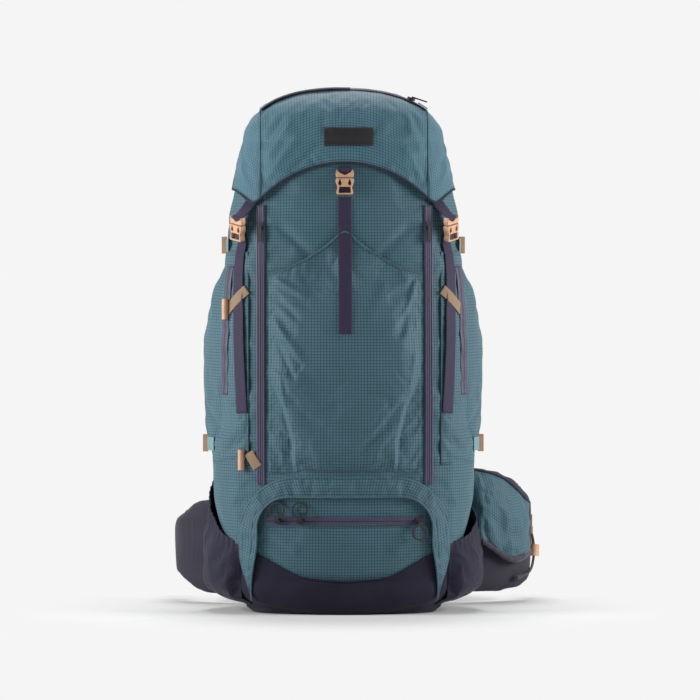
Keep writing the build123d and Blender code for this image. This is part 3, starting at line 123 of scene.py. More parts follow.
def around(s, z, out, sizes=None):
    """Points and outward normals at running length s from the front's middle, at height z."""
    s, z, out = np.broadcast_arrays(np.asarray(s, float), np.asarray(z, float), np.asarray(out, float))
    half, front, back, crown, corner, back_corner = sizes if sizes is not None else bag_sizes(z)
    bow, middle, corner_x, corner_y, turn, lengths = plan_arcs(half, front, back, crown, corner, back_corner)
    side, run = np.sign(s) + (s == 0), np.abs(s)
    ends = np.cumsum(np.stack([np.broadcast_to(l, run.shape) for l in lengths]), axis=0)
    a = run / bow
    x, y, nx, ny = bow * np.sin(a), middle - bow * np.cos(a), np.sin(a), -np.cos(a)
    b = turn + (run - ends[0]) / corner
    on = run > ends[0]
    x, y = np.where(on, corner_x + corner * np.sin(b), x), np.where(on, corner_y - corner * np.cos(b), y)
    nx, ny = np.where(on, np.sin(b), nx), np.where(on, -np.cos(b), ny)
    on = run > ends[1]
    x, y = np.where(on, half, x), np.where(on, corner_y + run - ends[1], y)
    nx, ny = np.where(on, 1.0, nx), np.where(on, 0.0, ny)
    c = (run - ends[2]) / back_corner
    on = run > ends[2]
    x = np.where(on, half - back_corner + back_corner * np.cos(c), x)
    y = np.where(on, back - back_corner + back_corner * np.sin(c), y)
    nx, ny = np.where(on, np.cos(c), nx), np.where(on, np.sin(c), ny)
    on = run > ends[3]
    x = np.where(on, half - back_corner - (run - ends[3]), x)
    y, nx, ny = np.where(on, back, y), np.where(on, 0.0, nx), np.where(on, 1.0, ny)
    point = np.stack([side * (x + nx * out), y + ny * out, z], axis=-1)
    normal = np.stack([side * nx, ny, np.zeros_like(nx)], axis=-1)
    return point, normal


def run_to_x(x, z):
    """Running length from the front's middle to where the bag's front stands at x."""
    half, front, back, crown, corner, back_corner = bag_sizes(np.asarray(z, float))
    bow, _, corner_x, _, turn, lengths = plan_arcs(half, front, back, crown, corner, back_corner)
    ax = np.abs(x)
    inner = bow * np.arcsin(np.clip(ax / bow, 0, 1))
    outer = lengths[0] + corner * (np.arcsin(np.clip((ax - corner_x) / corner, 0, 1)) - turn)
    return np.sign(x) * np.where(inner > lengths[0], outer, inner)


def half_girth(z):
    """Running length from the front's middle round to the back's middle."""
    return sum(plan_arcs(*bag_sizes(np.asarray(z, float)))[-1])


def corner_run(z, past):
    """Running length from the front's middle to some way past the start of the back corner."""
    lengths = plan_arcs(*bag_sizes(np.asarray(z, float)))[-1]
    return lengths[0] + lengths[1] + lengths[2] + past


def fold(u, v, start, end, width, height):
    """A soft ridge, or a groove where height is negative, from start to end in a piece's plan."""
    ax, ay = start
    dx, dy = end[0] - ax, end[1] - ay
    length = math.hypot(dx, dy)
    along = ((u - ax) * dx + (v - ay) * dy) / length**2
    across = ((u - ax) * dy - (v - ay) * dx) / length
    fade = np.clip(along / 0.25, 0, 1) * np.clip((1 - along) / 0.25, 0, 1)
    return height * np.exp(-((across / width) ** 2)) * fade * fade * (3 - 2 * fade)


def folds(u, v, rows):
    """Several folds together: each row is a start, an end, a width and a height, in millimetres."""
    total = 0.0
    for start, end, width, height in rows:
        ends = (tuple(c * MM for c in point) for point in (start, end))
        total = total + fold(u, v, *ends, width * MM, height * MM)
    return total


def ripple(u, v, seed, size, height):
    """Gentle unevenness of slack cloth, the same on every run."""
    total = np.zeros(np.broadcast(u, v).shape)
    turns = np.random.default_rng(seed)
    for octave in range(5):
        angle, phase, bend = turns.uniform(0, math.pi), turns.uniform(0, 6.28), turns.uniform(0, 6.28)
        k = 2 * math.pi / size * (1.0 + 0.6 * octave)
        wave = (u * math.cos(angle) + v * math.sin(angle)) * k + phase
        wave = wave + 1.1 * np.sin((u * math.sin(angle) - v * math.cos(angle)) * k * 0.6 + bend)
        total += np.sin(wave) / (1 + octave)
    return height * total / 2


def smooth(low, high, value):
    """0 below low, 1 above high, with a soft start and end between them."""
    t = np.clip((value - low) / (high - low), 0, 1)
    return t * t * (3 - 2 * t)


def unit(rows):
    """The same directions, each of length one."""
    return rows / np.linalg.norm(rows, axis=1)[:, None]


def run_along(line):
    """Running length at each point of a line."""
    return np.concatenate([[0], np.cumsum(np.linalg.norm(np.diff(line, axis=0), axis=1))])


# ---------------------------------------------------------------- finishes
class Value:
    """A number on its way through a material's nodes."""

    def __init__(self, finish, socket):
        self.finish, self.socket = finish, socket

    def math(self, operation, *others):
        out = self.finish.node("ShaderNodeMath", {"operation": operation}, self, *others)
        return Value(self.finish, out.outputs[0])

    def __add__(self, other):
        return self.math("ADD", other)

    def __sub__(self, other):
        return self.math("SUBTRACT", other)

    def __rsub__(self, other):
        return self.finish.number(other).math("SUBTRACT", self)

    def __mul__(self, other):
        return self.math("MULTIPLY", other)

    def __truediv__(self, other):
        return self.math("DIVIDE", other)

    __radd__, __rmul__ = __add__, __mul__

    def fraction(self):
        return self.math("FRACT")

    def size(self):
        return self.math("ABSOLUTE")

    def larger(self, other):
        return self.math("MAXIMUM", other)

    def sine(self):
        return self.math("SINE")

    def ramp(self, low, high):
        """0 at low, 1 at high, smooth between them."""
        settings = {"interpolation_type": "SMOOTHSTEP", "clamp": True}
        out = self.finish.node("ShaderNodeMapRange", settings, self, low, high, 0.0, 1.0)
        return Value(self.finish, out.outputs[0])


class Finish:
    """One material, built from a Principled shader."""

    def __init__(self, name, colour, roughness=0.6, sheen=0.0, metallic=0.0, specular=0.4):
        self.material = bpy.data.materials.new(name)
        self.material.use_nodes = True
        self.tree = self.material.node_tree
        self.shader = self.tree.nodes["Principled BSDF"]
        self.set("Base Color", (*colour, 1))
        self.set("Roughness", roughness)
        self.set("Metallic", metallic)
        self.set("Specular IOR Level", specular)
        self.set("Sheen Weight", sheen)
        self.set("Sheen Roughness", 0.45)
        self.material.diffuse_color = (*colour, 1)

    def node(self, kind, settings, *inputs):
        made = self.tree.nodes.new(kind)
        for key, value in settings.items():
            setattr(made, key, value)
        for place, value in enumerate(inputs):
            self.link(value, made.inputs[place])
        return made

    def link(self, value, socket):
        if isinstance(value, Value):
            self.tree.links.new(value.socket, socket)
        elif isinstance(value, bpy.types.NodeSocket):
            self.tree.links.new(value, socket)
        elif value is not None:
            socket.default_value = value

    def set(self, name, value):
        self.link(value, self.shader.inputs[name])

    def number(self, value):
        made = self.tree.nodes.new("ShaderNodeValue")
        made.outputs[0].default_value = value
        return Value(self, made.outputs[0])

    def uv(self, name="UVMap"):
        """The piece's own running lengths, in metres, across and along it."""
        made = self.node("ShaderNodeUVMap", {"uv_map": name})
        parts = self.node("ShaderNodeSeparateXYZ", {}, made.outputs[0])
        return Value(self, parts.outputs[0]), Value(self, parts.outputs[1]), made.outputs[0]

    def place(self):
        """Where the surface stands: its three coordinates, and all of them together."""
        made = self.node("ShaderNodeTexCoord", {})
        parts = self.node("ShaderNodeSeparateXYZ", {}, made.outputs["Object"])
        return [Value(self, parts.outputs[i]) for i in range(3)], made.outputs["Object"]

    def noise(self, vector, scale, detail=2.0, roughness=0.5):
        made = self.node("ShaderNodeTexNoise", {"noise_dimensions": "3D"})
        self.link(vector, made.inputs["Vector"])
        made.inputs["Scale"].default_value = scale
        made.inputs["Detail"].default_value = detail
        made.inputs["Roughness"].default_value = roughness
        return Value(self, made.outputs[0])

    def mix(self, factor, first, second):
        made = self.node("ShaderNodeMix", {"data_type": "RGBA"})
        self.link(factor, made.inputs[0])
        for value, socket in ((first, made.inputs[6]), (second, made.inputs[7])):
            self.link((*value, 1) if isinstance(value, tuple) else value, socket)
        return made.outputs[2]

    def bump(self, height, distance, strength=1.0, under=None):
        made = self.node("ShaderNodeBump", {})
        made.inputs["Strength"].default_value = strength
        made.inputs["Distance"].default_value = distance
        self.link(height, made.inputs["Height"])
        if under is not None:
            self.link(under, made.inputs["Normal"])
        return made.outputs[0]


def darker(colour, share):
    return tuple(c * share for c in colour)


def stitches(finish, inset=4.2 * MM, pitch=3.4 * MM):
    """Mask of a row of stitches that runs inside a piece's sewn edges."""
    off, along, _ = finish.uv("edge")
    row = 1 - ((off - inset).size() / (0.5 * MM)).ramp(0.6, 1.0)
    return row * ((along / pitch).fraction() - 0.5).size().ramp(0.42, 0.34)


def ripstop(name, light, dark, pitch=4.35 * MM, sheen=0.15):
    """Light pack cloth with a woven grid of heavier, darker threads."""
    f = Finish(name, light, roughness=0.62, sheen=sheen, specular=0.3)
    u, v, _ = f.uv()
    _, place = f.place()
    lines = [((t / pitch).fraction() - 0.5).size().ramp(0.30, 0.42) for t in (u, v)]
    grid = lines[0].larger(lines[1])
    crossing = lines[0] * lines[1]
    broad = f.noise(place, 9.0, 3.0)
    fine = f.noise(place, 900.0, 1.0)
    stitch = stitches(f)
    cloth = f.mix(broad.ramp(0.3, 0.7), darker(light, 0.93), darker(light, 1.07))
    cloth = f.mix(fine.ramp(0.25, 0.75) * 0.22, cloth, darker(light, 0.72))
    cloth = f.mix(grid * 0.82 + crossing * 0.1, cloth, dark)
    cloth = f.mix(stitch * 0.75, cloth, darker(dark, 0.45))
    f.set("Base Color", cloth)
    f.set("Roughness", 0.56 + fine * 0.14 + grid * 0.05)
    threads = (u * (2 * math.pi / (0.45 * MM))).sine() * (v * (2 * math.pi / (0.45 * MM))).sine()
    height = threads * 0.12 + grid * 0.9 - stitch * 1.6
    puckers = f.noise(place, 55.0, 2.0)
    f.set("Normal", f.bump(height, 0.16 * MM, 0.8, f.bump(puckers, 1.2 * MM, 0.35)))
    return f.material


def plain_cloth(name, colour, sheen=0.06, pitch=0.9 * MM, stitched=True):
    """Dense plain-woven pack cloth."""
    f = Finish(name, colour, roughness=0.72, sheen=sheen, specular=0.14)
    u, v, _ = f.uv()
    _, place = f.place()
    weave = (u * (2 * math.pi / pitch)).sine() * (v * (2 * math.pi / pitch)).sine()
    broad = f.noise(place, 12.0, 3.0)
    fine = f.noise(place, 700.0, 1.0)
    cloth = f.mix(broad.ramp(0.3, 0.7), darker(colour, 0.86), darker(colour, 1.16))
    cloth = f.mix(fine.ramp(0.3, 0.8) * 0.35, cloth, darker(colour, 0.6))
    height = weave * 0.5
    if stitched:
        stitch = stitches(f)
        cloth = f.mix(stitch * 0.8, cloth, darker(colour, 2.2))
        height = height - stitch * 1.5
    f.set("Base Color", cloth)
    f.set("Roughness", 0.66 + fine * 0.16)
    f.set("Normal", f.bump(height, 0.2 * MM, 0.7, f.bump(f.noise(place, 60.0, 2.0), 1.4 * MM, 0.4)))
    return f.material


def woven(name, colour, width=WEBBING, pitch=1.5 * MM):
    """Webbing: rows of twill across its width, with firm edges; u runs across, v along."""
    f = Finish(name, colour, roughness=0.6, sheen=0.06, specular=0.18)
    u, v, _ = f.uv()
    _, place = f.place()
    rows = ((u / (2.4 * MM)).fraction() - 0.5).size()
    twill = ((v / pitch + rows * 1.4).fraction() - 0.5).size().ramp(0.1, 0.4)
    edge = (u.size() / (width / 2)).ramp(0.8, 0.92)
    fine = f.noise(place, 800.0, 1.0)
    cloth = f.mix(twill * 0.55, darker(colour, 1.12), darker(colour, 0.66))
    cloth = f.mix(edge * 0.5, cloth, darker(colour, 1.35))
    cloth = f.mix(fine.ramp(0.3, 0.8) * 0.25, cloth, darker(colour, 0.6))
    f.set("Base Color", cloth)
    f.set("Roughness", 0.52 + fine * 0.18)
    f.set("Normal", f.bump(twill * 0.6 + rows * 0.5 + edge * 0.6, 0.3 * MM, 0.8))
    return f.material


def zip_cloth(name, colour, tooth_colour):
    """Coated zip tape: a split seam down its middle between two folded edges; u across, v along."""
    f = Finish(name, colour, roughness=0.5, sheen=0.1, specular=0.4)
    u, v, _ = f.uv()
    _, place = f.place()
    off = u.size()
    seam = 1 - off.ramp(0.35 * MM, 1.0 * MM)
    ribs = ((v / (1.4 * MM)).fraction() - 0.5).size().ramp(0.15, 0.4)
    coil = 1 - off.ramp(2.0 * MM, 2.7 * MM)
    row = 1 - ((off - 4.4 * MM).size() / (0.4 * MM)).ramp(0.5, 1.0)
    stitch = row * ((v / (3.0 * MM)).fraction() - 0.5).size().ramp(0.44, 0.36)
    fine = f.noise(place, 600.0, 1.0)
    cloth = f.mix(fine.ramp(0.3, 0.7) * 0.4, colour, darker(colour, 0.75))
    cloth = f.mix(coil * 0.35, cloth, darker(colour, 0.7))
    cloth = f.mix(stitch * 0.7, cloth, darker(colour, 0.4))
    cloth = f.mix(seam * 0.9, cloth, tooth_colour)
    f.set("Base Color", cloth)
    f.set("Roughness", 0.45 + fine * 0.15)
    f.set("Normal", f.bump(coil * 1.0 + coil * ribs * 0.25 - seam * 1.4 - stitch * 0.6, 0.5 * MM, 0.9))
    return f.material


def moulded(name, colour, roughness=0.42):
    """Moulded plastic with a faint spark-eroded grain and broad patches of lighter and darker tone."""
    f = Finish(name, colour, roughness=roughness, specular=0.45)
    _, place = f.place()
    grit = f.noise(place, 1400.0, 2.0, 0.6)
    broad = f.noise(place, 60.0, 3.0)
    f.set("Base Color", f.mix(broad.ramp(0.35, 0.7), darker(colour, 0.92), darker(colour, 1.06)))
    f.set("Roughness", roughness - 0.06 + grit * 0.16)
    f.set("Normal", f.bump(grit, 0.06 * MM, 0.6, f.bump(broad, 0.3 * MM, 0.15)))
    return f.material


def braid(name, colour, fleck):
    """Round braided cord with light flecks; u runs round it, v along."""
    f = Finish(name, colour, roughness=0.7, sheen=0.2, specular=0.3)
    u, v, _ = f.uv()
    a = ((u / (2.2 * MM) + v / (3.0 * MM)).fraction() - 0.5).size()
    b = ((u / (2.2 * MM) - v / (3.0 * MM)).fraction() - 0.5).size()
    strand = a.larger(b)
    mark = ((v / (4.8 * MM)).fraction() - 0.5).size().ramp(0.44, 0.48) * a.ramp(0.2, 0.35)
    plait = f.mix(strand.ramp(0.3, 0.5), colour, darker(colour, 0.45))
    f.set("Base Color", f.mix(mark, plait, fleck))
    f.set("Normal", f.bump(1 - strand.ramp(0.25, 0.5), 0.3 * MM, 0.8))
    return f.material


def over_place(name, colour, pitch, depth, sheen=0.25, hole=0.35, roughness=0.75):
    """Knitted or woven cover of a padded piece, patterned by where it stands."""
    f = Finish(name, colour, roughness=roughness, sheen=sheen, specular=0.25)
    (x, y, z), place = f.place()
    a = ((x + y) / pitch).fraction() - 0.5
    b = ((z + y * 0.5) / pitch).fraction() - 0.5
    cell = (a * a + b * b).math("SQRT").ramp(0.22, 0.42)
    fine = f.noise(place, 900.0, 1.0)
    broad = f.noise(place, 14.0, 3.0)
    cover = f.mix(broad.ramp(0.3, 0.7), darker(colour, 0.84), darker(colour, 1.18))
    cover = f.mix((1 - cell) * hole, cover, darker(colour, 0.3))
    cover = f.mix(fine.ramp(0.3, 0.8) * 0.3, cover, darker(colour, 0.6))
    f.set("Base Color", cover)
    f.set("Roughness", roughness - 0.06 + fine * 0.12)
    creases = f.noise(place, 38.0, 3.0)
    f.set("Normal", f.bump(cell, depth, 0.8, f.bump(creases, 2.2 * MM, 0.45)))
    return f.material


def patch_cover(name, colour, dark, light, thread):
    """Grained cover of the lid's patch, stitched round inside its edge."""
    f = Finish(name, colour, roughness=0.55, specular=0.35)
    _, place = f.place()
    grain = f.noise(place, 1500.0, 2.0)
    stitch = stitches(f, 2.0 * MM, 2.6 * MM)
    f.set("Base Color", f.mix(stitch * 0.8, f.mix(grain, dark, light), thread))
    f.set("Roughness", 0.5 + grain * 0.15)
    f.set("Normal", f.bump(grain * 0.3 - stitch * 1.2, 0.15 * MM, 0.8))
    return f.material


def zip_teeth(name, colour, tooth_colour, gap_colour):
    """Teeth of an open zip, one every 2.2 mm along it."""
    f = Finish(name, colour, roughness=0.35, specular=0.5)
    _, along, _ = f.uv()
    tooth = ((along / (2.2 * MM)).fraction() - 0.5).size().ramp(0.2, 0.32)
    f.set("Base Color", f.mix(tooth, tooth_colour, gap_colour))
    f.set("Normal", f.bump(1 - tooth, 0.5 * MM, 0.9))
    return f.material


def gathered_elastic(name, colour, dark, light):
    """Ribbed elastic binding."""
    f = Finish(name, colour, roughness=0.7, sheen=0.3, specular=0.3)
    _, place = f.place()
    rib = f.noise(place, 420.0, 2.0)
    f.set("Base Color", f.mix(rib.ramp(0.3, 0.7), dark, light))
    f.set("Normal", f.bump(rib, 0.5 * MM, 0.7))
    return f.material


def brushed_metal(name, colour):
    """Plain metal with an uneven shine."""
    f = Finish(name, colour, roughness=0.38, metallic=1.0)
    _, place = f.place()
    f.set("Roughness", 0.32 + f.noise(place, 260.0, 2.0) * 0.16)
    return f.material


TEAL, TEAL_LINE = (0.047, 0.121, 0.155), (0.014, 0.042, 0.060)
TEAL_TOP, TEAL_TOP_LINE = (0.055, 0.144, 0.193), (0.017, 0.052, 0.076)
NAVY = (0.014, 0.013, 0.027)
STRAP = (0.028, 0.021, 0.050)
ZIP = (0.046, 0.040, 0.082)
TAN = (0.47, 0.27, 0.165)
TAN_STRAP = (0.25, 0.17, 0.105)
PALE = (0.14, 0.25, 0.28)
BLACK = (0.012, 0.012, 0.015)

shell_cloth = ripstop("shell_ripstop", TEAL, TEAL_LINE)
lid_cloth = ripstop("lid_ripstop", TEAL_TOP, TEAL_TOP_LINE)
navy_cloth = plain_cloth("navy_pack_cloth", NAVY)
stretch_cloth = plain_cloth("navy_stretch_cloth", (0.016, 0.015, 0.030), sheen=0.08, pitch=1.3 * MM)
strap_weave = woven("navy_webbing", STRAP)
tan_weave = woven("tan_webbing", TAN_STRAP, 15 * MM)
pale_weave = woven("pale_webbing", PALE)
zip_tape = zip_cloth("zip_tape", ZIP, (0.006, 0.006, 0.012))
tan_plastic = moulded("tan_buckle_plastic", TAN)
# black plastic of the sliders and hip buckles, also used for the plates of painted shade in the lid buckles'
# openings
black_plastic_and_shade = moulded("black_moulded_plastic_and_painted_shade", BLACK, 0.45)
cord_braid = braid("shock_cord_braid", (0.030, 0.030, 0.034), (0.34, 0.34, 0.33))
dark_cord = braid("dark_cord_braid", (0.016, 0.015, 0.020), (0.05, 0.05, 0.06))
pad_mesh = over_place("back_air_mesh", (0.042, 0.042, 0.058), 3.0 * MM, 0.5 * MM, hole=0.8, roughness=0.85)
pad_cloth = over_place("padded_navy_cloth", (0.024, 0.021, 0.037), 0.9 * MM, 0.12 * MM, sheen=0.12)
strap_by_place = over_place("navy_webbing_by_place", STRAP, 1.5 * MM, 0.18 * MM, hole=0.5, roughness=0.62)
tan_by_place = over_place("tan_tab_weave", (0.34, 0.24, 0.15), 1.4 * MM, 0.2 * MM)
floor_cloth = over_place("lid_floor_cloth", (0.020, 0.020, 0.034), 1.0 * MM, 0.12 * MM, hole=0.3)
zip_welt = plain_cloth("zip_welt_cloth", (0.070, 0.064, 0.118), sheen=0.1, stitched=False)
hem_cloth = plain_cloth("lid_hem_binding", (0.022, 0.026, 0.040), stitched=False)
seam_cloth = plain_cloth("lid_seam_welt", (0.060, 0.130, 0.175), stitched=False)
patch_face = patch_cover(
    "black_patch", (0.010, 0.010, 0.012), (0.008, 0.008, 0.010), (0.016, 0.016, 0.018), (0.05, 0.05, 0.055)
)
open_teeth = zip_teeth("zip_teeth", (0.10, 0.10, 0.105), (0.16, 0.16, 0.165), (0.012, 0.012, 0.014))
elastic = gathered_elastic(
    "navy_elastic", (0.020, 0.018, 0.034), (0.012, 0.011, 0.022), (0.034, 0.031, 0.056)
)
frame_sheet_finish = moulded("frame_polyethylene", (0.035, 0.035, 0.038), 0.5)
stay_metal = brushed_metal("stay_aluminium", (0.62, 0.62, 0.64))


# ---------------------------------------------------------------- making pieces
def clear_choice():
    """Deselects everything."""
    for thing in bpy.context.selected_objects:
        thing.select_set(False)


def choose(piece):
    """Selects one piece alone and makes it the active one."""
    clear_choice()
    bpy.context.view_layer.objects.active = piece
    piece.select_set(True)


def finished(piece, cloth, body, stands_for=()):
    """Smooth-shades a piece, gives it its finish and its body, and lets it stand for its nodes."""
    if cloth is not None:
        piece.data.materials.clear()
        piece.data.materials.append(cloth)
    if piece.type == "MESH":
        piece.data.polygons.foreach_set("use_smooth", [True] * len(piece.data.polygons))
    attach(piece, body)
    if stands_for:
        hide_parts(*stands_for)
    return piece


def apply_modifiers(piece):
    choose(piece)
    for modifier in list(piece.modifiers):
        bpy.ops.object.modifier_apply(modifier=modifier.name)
    piece.select_set(False)


def vertex_places(mesh):
    flat = np.empty(len(mesh.vertices) * 3)
    mesh.vertices.foreach_get("co", flat)
    return flat.reshape(-1, 3)


def put_vertices(mesh, places):
    mesh.vertices.foreach_set("co", np.ascontiguousarray(places, dtype=np.float64).ravel())
    mesh.update()


def face_away(mesh, anchor):
    """Turns an open sheet's faces so that they look away from a point inside."""
    total = sum((face.center - Vector(anchor)).dot(face.normal) * face.area for face in mesh.polygons)
    if total < 0:
        mesh.flip_normals()


def close_shell(mesh, merge=None, fill=False):
    """Makes a closed shell's faces look outwards, its doubles merged and its holes filled where asked."""
    shell = bmesh.new()
    shell.from_mesh(mesh)
    if merge is not None:
        bmesh.ops.remove_doubles(shell, verts=shell.verts, dist=merge)
    if fill:
        bmesh.ops.holes_fill(shell, edges=[e for e in shell.edges if e.is_boundary])
    bmesh.ops.recalc_face_normals(shell, faces=shell.faces)
    shell.to_mesh(mesh)
    shell.free()


def cloth(name, across, along, shape, anchor=(0, 0, 0.4)):
    """A sheet of cloth: a grid taken to shape(a, b), a and b from 0 to 1, which may give its UVs too."""
    clear_choice()
    bpy.ops.mesh.primitive_grid_add(x_subdivisions=across, y_subdivisions=along, size=1)
    piece = bpy.context.object
    piece.name = piece.data.name = name
    mesh = piece.data
    flat = vertex_places(mesh)
    a, b = flat[:, 0] + 0.5, flat[:, 1] + 0.5
    made = shape(a, b)
    places, lengths = made if isinstance(made, tuple) else (made, None)
    put_vertices(mesh, places)
    order = np.lexsort((np.round(a * across), np.round(b * along)))
    rows = places[order].reshape(along + 1, across + 1, 3)
    step_u = np.linalg.norm(np.diff(rows, axis=1), axis=2)
    step_v = np.linalg.norm(np.diff(rows, axis=0), axis=2)
    run_u = np.concatenate([np.zeros((along + 1, 1)), np.cumsum(step_u, axis=1)], axis=1)
    run_v = np.concatenate([np.zeros((1, across + 1)), np.cumsum(step_v, axis=0)], axis=0)
    near = [run_u, run_u[:, -1:] - run_u, run_v, run_v[-1:] - run_v]
    off = np.minimum.reduce(near)
    along_edge = np.where(np.minimum(near[0], near[1]) <= np.minimum(near[2], near[3]), run_v, run_u)
    if lengths is None:
        centred = run_u - run_u[:, across // 2][:, None]
        lengths = np.empty((len(flat), 2))
        lengths[order, 0], lengths[order, 1] = centred.ravel(), run_v.ravel()
    edge = np.empty((len(flat), 2))
    edge[order, 0], edge[order, 1] = off.ravel(), along_edge.ravel()
    corners = np.empty(len(mesh.loops), dtype=np.int32)
    mesh.loops.foreach_get("vertex_index", corners)
    for layer, values in (("UVMap", lengths), ("edge", edge)):
        made = mesh.uv_layers.get(layer) or mesh.uv_layers.new(name=layer)
        made.data.foreach_set("uv", values[corners].ravel())
    face_away(mesh, anchor)
    return piece


def bordering(piece):
    """Which vertices of a cloth lie on its edges, where fewer than four of its lines meet."""
    mesh = piece.data
    count = np.zeros(len(mesh.vertices), dtype=int)
    for key in mesh.edge_keys:
        count[list(key)] += 1
    return count < 4


def simulate(piece, frames, pressure, bending, **rules):
    """How far each vertex of a piece moves in some frames of a cloth simulation."""
    rest = vertex_places(piece.data)
    run = piece.modifiers.new("cloth_run", "CLOTH")
    rule = run.settings
    for name, value in rules.items():
        setattr(rule, name, value)
    rule.use_pressure, rule.uniform_pressure_force = True, pressure
    rule.quality, rule.bending_stiffness = 4, bending
    rule.effector_weights.gravity = 0.0
    scene = bpy.context.scene
    for step in range(1, frames + 1):
        scene.frame_set(step)
        bpy.context.view_layer.update()
    seen = piece.evaluated_get(bpy.context.evaluated_depsgraph_get())
    moved = vertex_places(seen.data) - rest
    piece.modifiers.remove(run)
    scene.frame_set(1)
    return moved


def settle(piece, slack, proud=5 * MM, pressure=1.0, stiff=0.5, calm=None):
    """Lets a cloth with some slack settle into its own creases, sewn fast along its edges."""
    mesh = piece.data
    rest = vertex_places(mesh)
    normals = np.empty(len(mesh.vertices) * 3)
    mesh.vertices.foreach_get("normal", normals)
    normals = normals.reshape(-1, 3)
    group = piece.vertex_groups.new(name="sewn")
    group.add([int(i) for i in np.flatnonzero(bordering(piece))], 1.0, "REPLACE")
    moved = simulate(
        piece, 12, pressure, stiff, mass=0.2, tension_stiffness=12, compression_stiffness=12,
        shear_stiffness=4, shrink_min=-slack, vertex_group_mass="sewn",
    )
    piece.vertex_groups.remove(group)
    out = (moved * normals).sum(axis=1)
    side = moved - out[:, None] * normals
    reach = np.linalg.norm(side, axis=1)[:, None]
    side *= np.minimum(1, MOST_ASIDE / np.maximum(reach, 1e-9))
    out = np.clip(out, -MOST_SUNK, proud)
    if calm is not None:
        still = calm(rest)
        out, side = out * still, side * still[:, None]
    put_vertices(mesh, rest + side + out[:, None] * normals)
    return piece


def walled(piece, wall, rounds=1):
    """Smooths a sheet and gives it its thickness, inwards, where it has one."""
    if rounds:
        soft = piece.modifiers.new("soft", "SUBSURF")
        soft.levels = soft.render_levels = rounds
        soft.uv_smooth = "NONE"
        soft.boundary_smooth = "PRESERVE_CORNERS"
    if wall:
        solid = piece.modifiers.new("wall", "SOLIDIFY")
        solid.thickness, solid.offset = wall, -1
    apply_modifiers(piece)
    return piece


def evenly(line, count):
    """Points at even steps along a line."""
    run = run_along(line)
    steps = np.linspace(0, run[-1], count)
    return np.stack([np.interp(steps, run, line[:, i]) for i in range(line.shape[1])], axis=1)


def curve_through(points, count):
    """Evenly walked points of a smooth line through a few."""
    pts = np.array(points, float)
    ends = np.concatenate([2 * pts[:1] - pts[1:2], pts, 2 * pts[-1:] - pts[-2:-1]])
    t = np.linspace(0, 1, 16, endpoint=False)[:, None]
    spans = []
    for p0, p1, p2, p3 in zip(ends, ends[1:], ends[2:], ends[3:]):
        square, cube = 2 * p0 - 5 * p1 + 4 * p2 - p3, 3 * p1 - p0 - 3 * p2 + p3
        spans.append(0.5 * (2 * p1 + (p2 - p0) * t + square * t**2 + cube * t**3))
    return evenly(np.concatenate(spans + [pts[-1:]]), count)


def strip(name, line, outs, width, weave, body, stands_for=(), thick=WEBBING_THICK, across=6):
    """Flat webbing along a line, whose face looks out along outs at each point."""
    line, outs = np.array(line, float), np.array(outs, float)
    if outs.ndim == 1:
        outs = np.tile(outs, (len(line), 1))
    ahead = unit(np.gradient(line, axis=0))
    right = unit(np.cross(ahead, outs))
    up = np.cross(right, ahead)
    run = run_along(line)
    count = len(line) - 1

    def laid(a, b):
        row = np.round(b * count).astype(int)
        u = (a - 0.5) * width
        crown = thick / 2 + 0.15 * MM * (1 - (2 * a - 1) ** 2)
        place = line[row] + right[row] * u[:, None] + up[row] * crown[:, None]
        return place, np.stack([u, run[row]], axis=1)

    piece = cloth(name, across, count, laid)
    faces = piece.data.polygons
    total = 0.0
    for face in list(faces)[:: max(1, len(faces) // 12)]:
        nearest = np.argmin(((line - np.array(face.center)) ** 2).sum(axis=1))
        total += Vector(up[nearest]).dot(face.normal)
    if total < 0:
        piece.data.flip_normals()
    solid = piece.modifiers.new("wall", "SOLIDIFY")
    solid.thickness, solid.offset = thick, -1
    bevel = piece.modifiers.new("soft_edge", "BEVEL")
    bevel.width, bevel.segments, bevel.limit_method, bevel.angle_limit = 0.4 * MM, 1, "ANGLE", 1.0
    apply_modifiers(piece)
    return finished(piece, weave, body, stands_for)


def curve_mesh(name, curve, outlines, closed):
    """A mesh made from a curve that follows some outlines of points."""
    for outline in outlines:
        spline = curve.splines.new("POLY")
        spline.points.add(len(outline) - 1)
        for point, place in zip(spline.points, outline):
            point.co = (*place, 1)
        spline.use_cyclic_u = closed
    piece = bpy.data.objects.new(name, curve)
    bpy.context.collection.objects.link(piece)
    choose(piece)
    bpy.ops.object.convert(target="MESH")
    return bpy.context.object


def cord_like(name, line, radius, finish, body, stands_for=(), closed=False):
    """A round welt, piping or wire along a line."""
    curve = bpy.data.curves.new(name, "CURVE")
    curve.dimensions = "3D"
    curve.bevel_depth, curve.bevel_resolution, curve.use_fill_caps = radius, 3, True
    piece = curve_mesh(name, curve, [line], closed)
    close_shell(piece.data)
    return finished(piece, finish, body, stands_for)


def joined(name, pieces):
    """One piece from several."""
    choose(pieces[0])
    for piece in pieces:
        piece.select_set(True)
    bpy.ops.object.join()
    whole = bpy.context.object
    whole.name = whole.data.name = name
    return whole


def rounded(corners, steps=5):
    """Outline whose corners (x, y, radius) are rounded."""
    out = []
    n = len(corners)
    for i, (x, y, r) in enumerate(corners):
        here = Vector((x, y))
        before, after = Vector(corners[i - 1][:2]), Vector(corners[(i + 1) % n][:2])
        a, b = (before - here).normalized(), (after - here).normalized()
        half = a.angle(b) / 2
        if r <= 0 or half > 1.55:
            out.append((x, y))
            continue
        reach = min(r / math.tan(half), 0.48 * (before - here).length, 0.48 * (after - here).length)
        start, end = here + a * reach, here + b * reach
        for step in range(steps + 1):
            t = step / steps
            point = start * (1 - t) ** 2 + here * 2 * t * (1 - t) + end * t**2
            out.append((point.x, point.y))
    return out


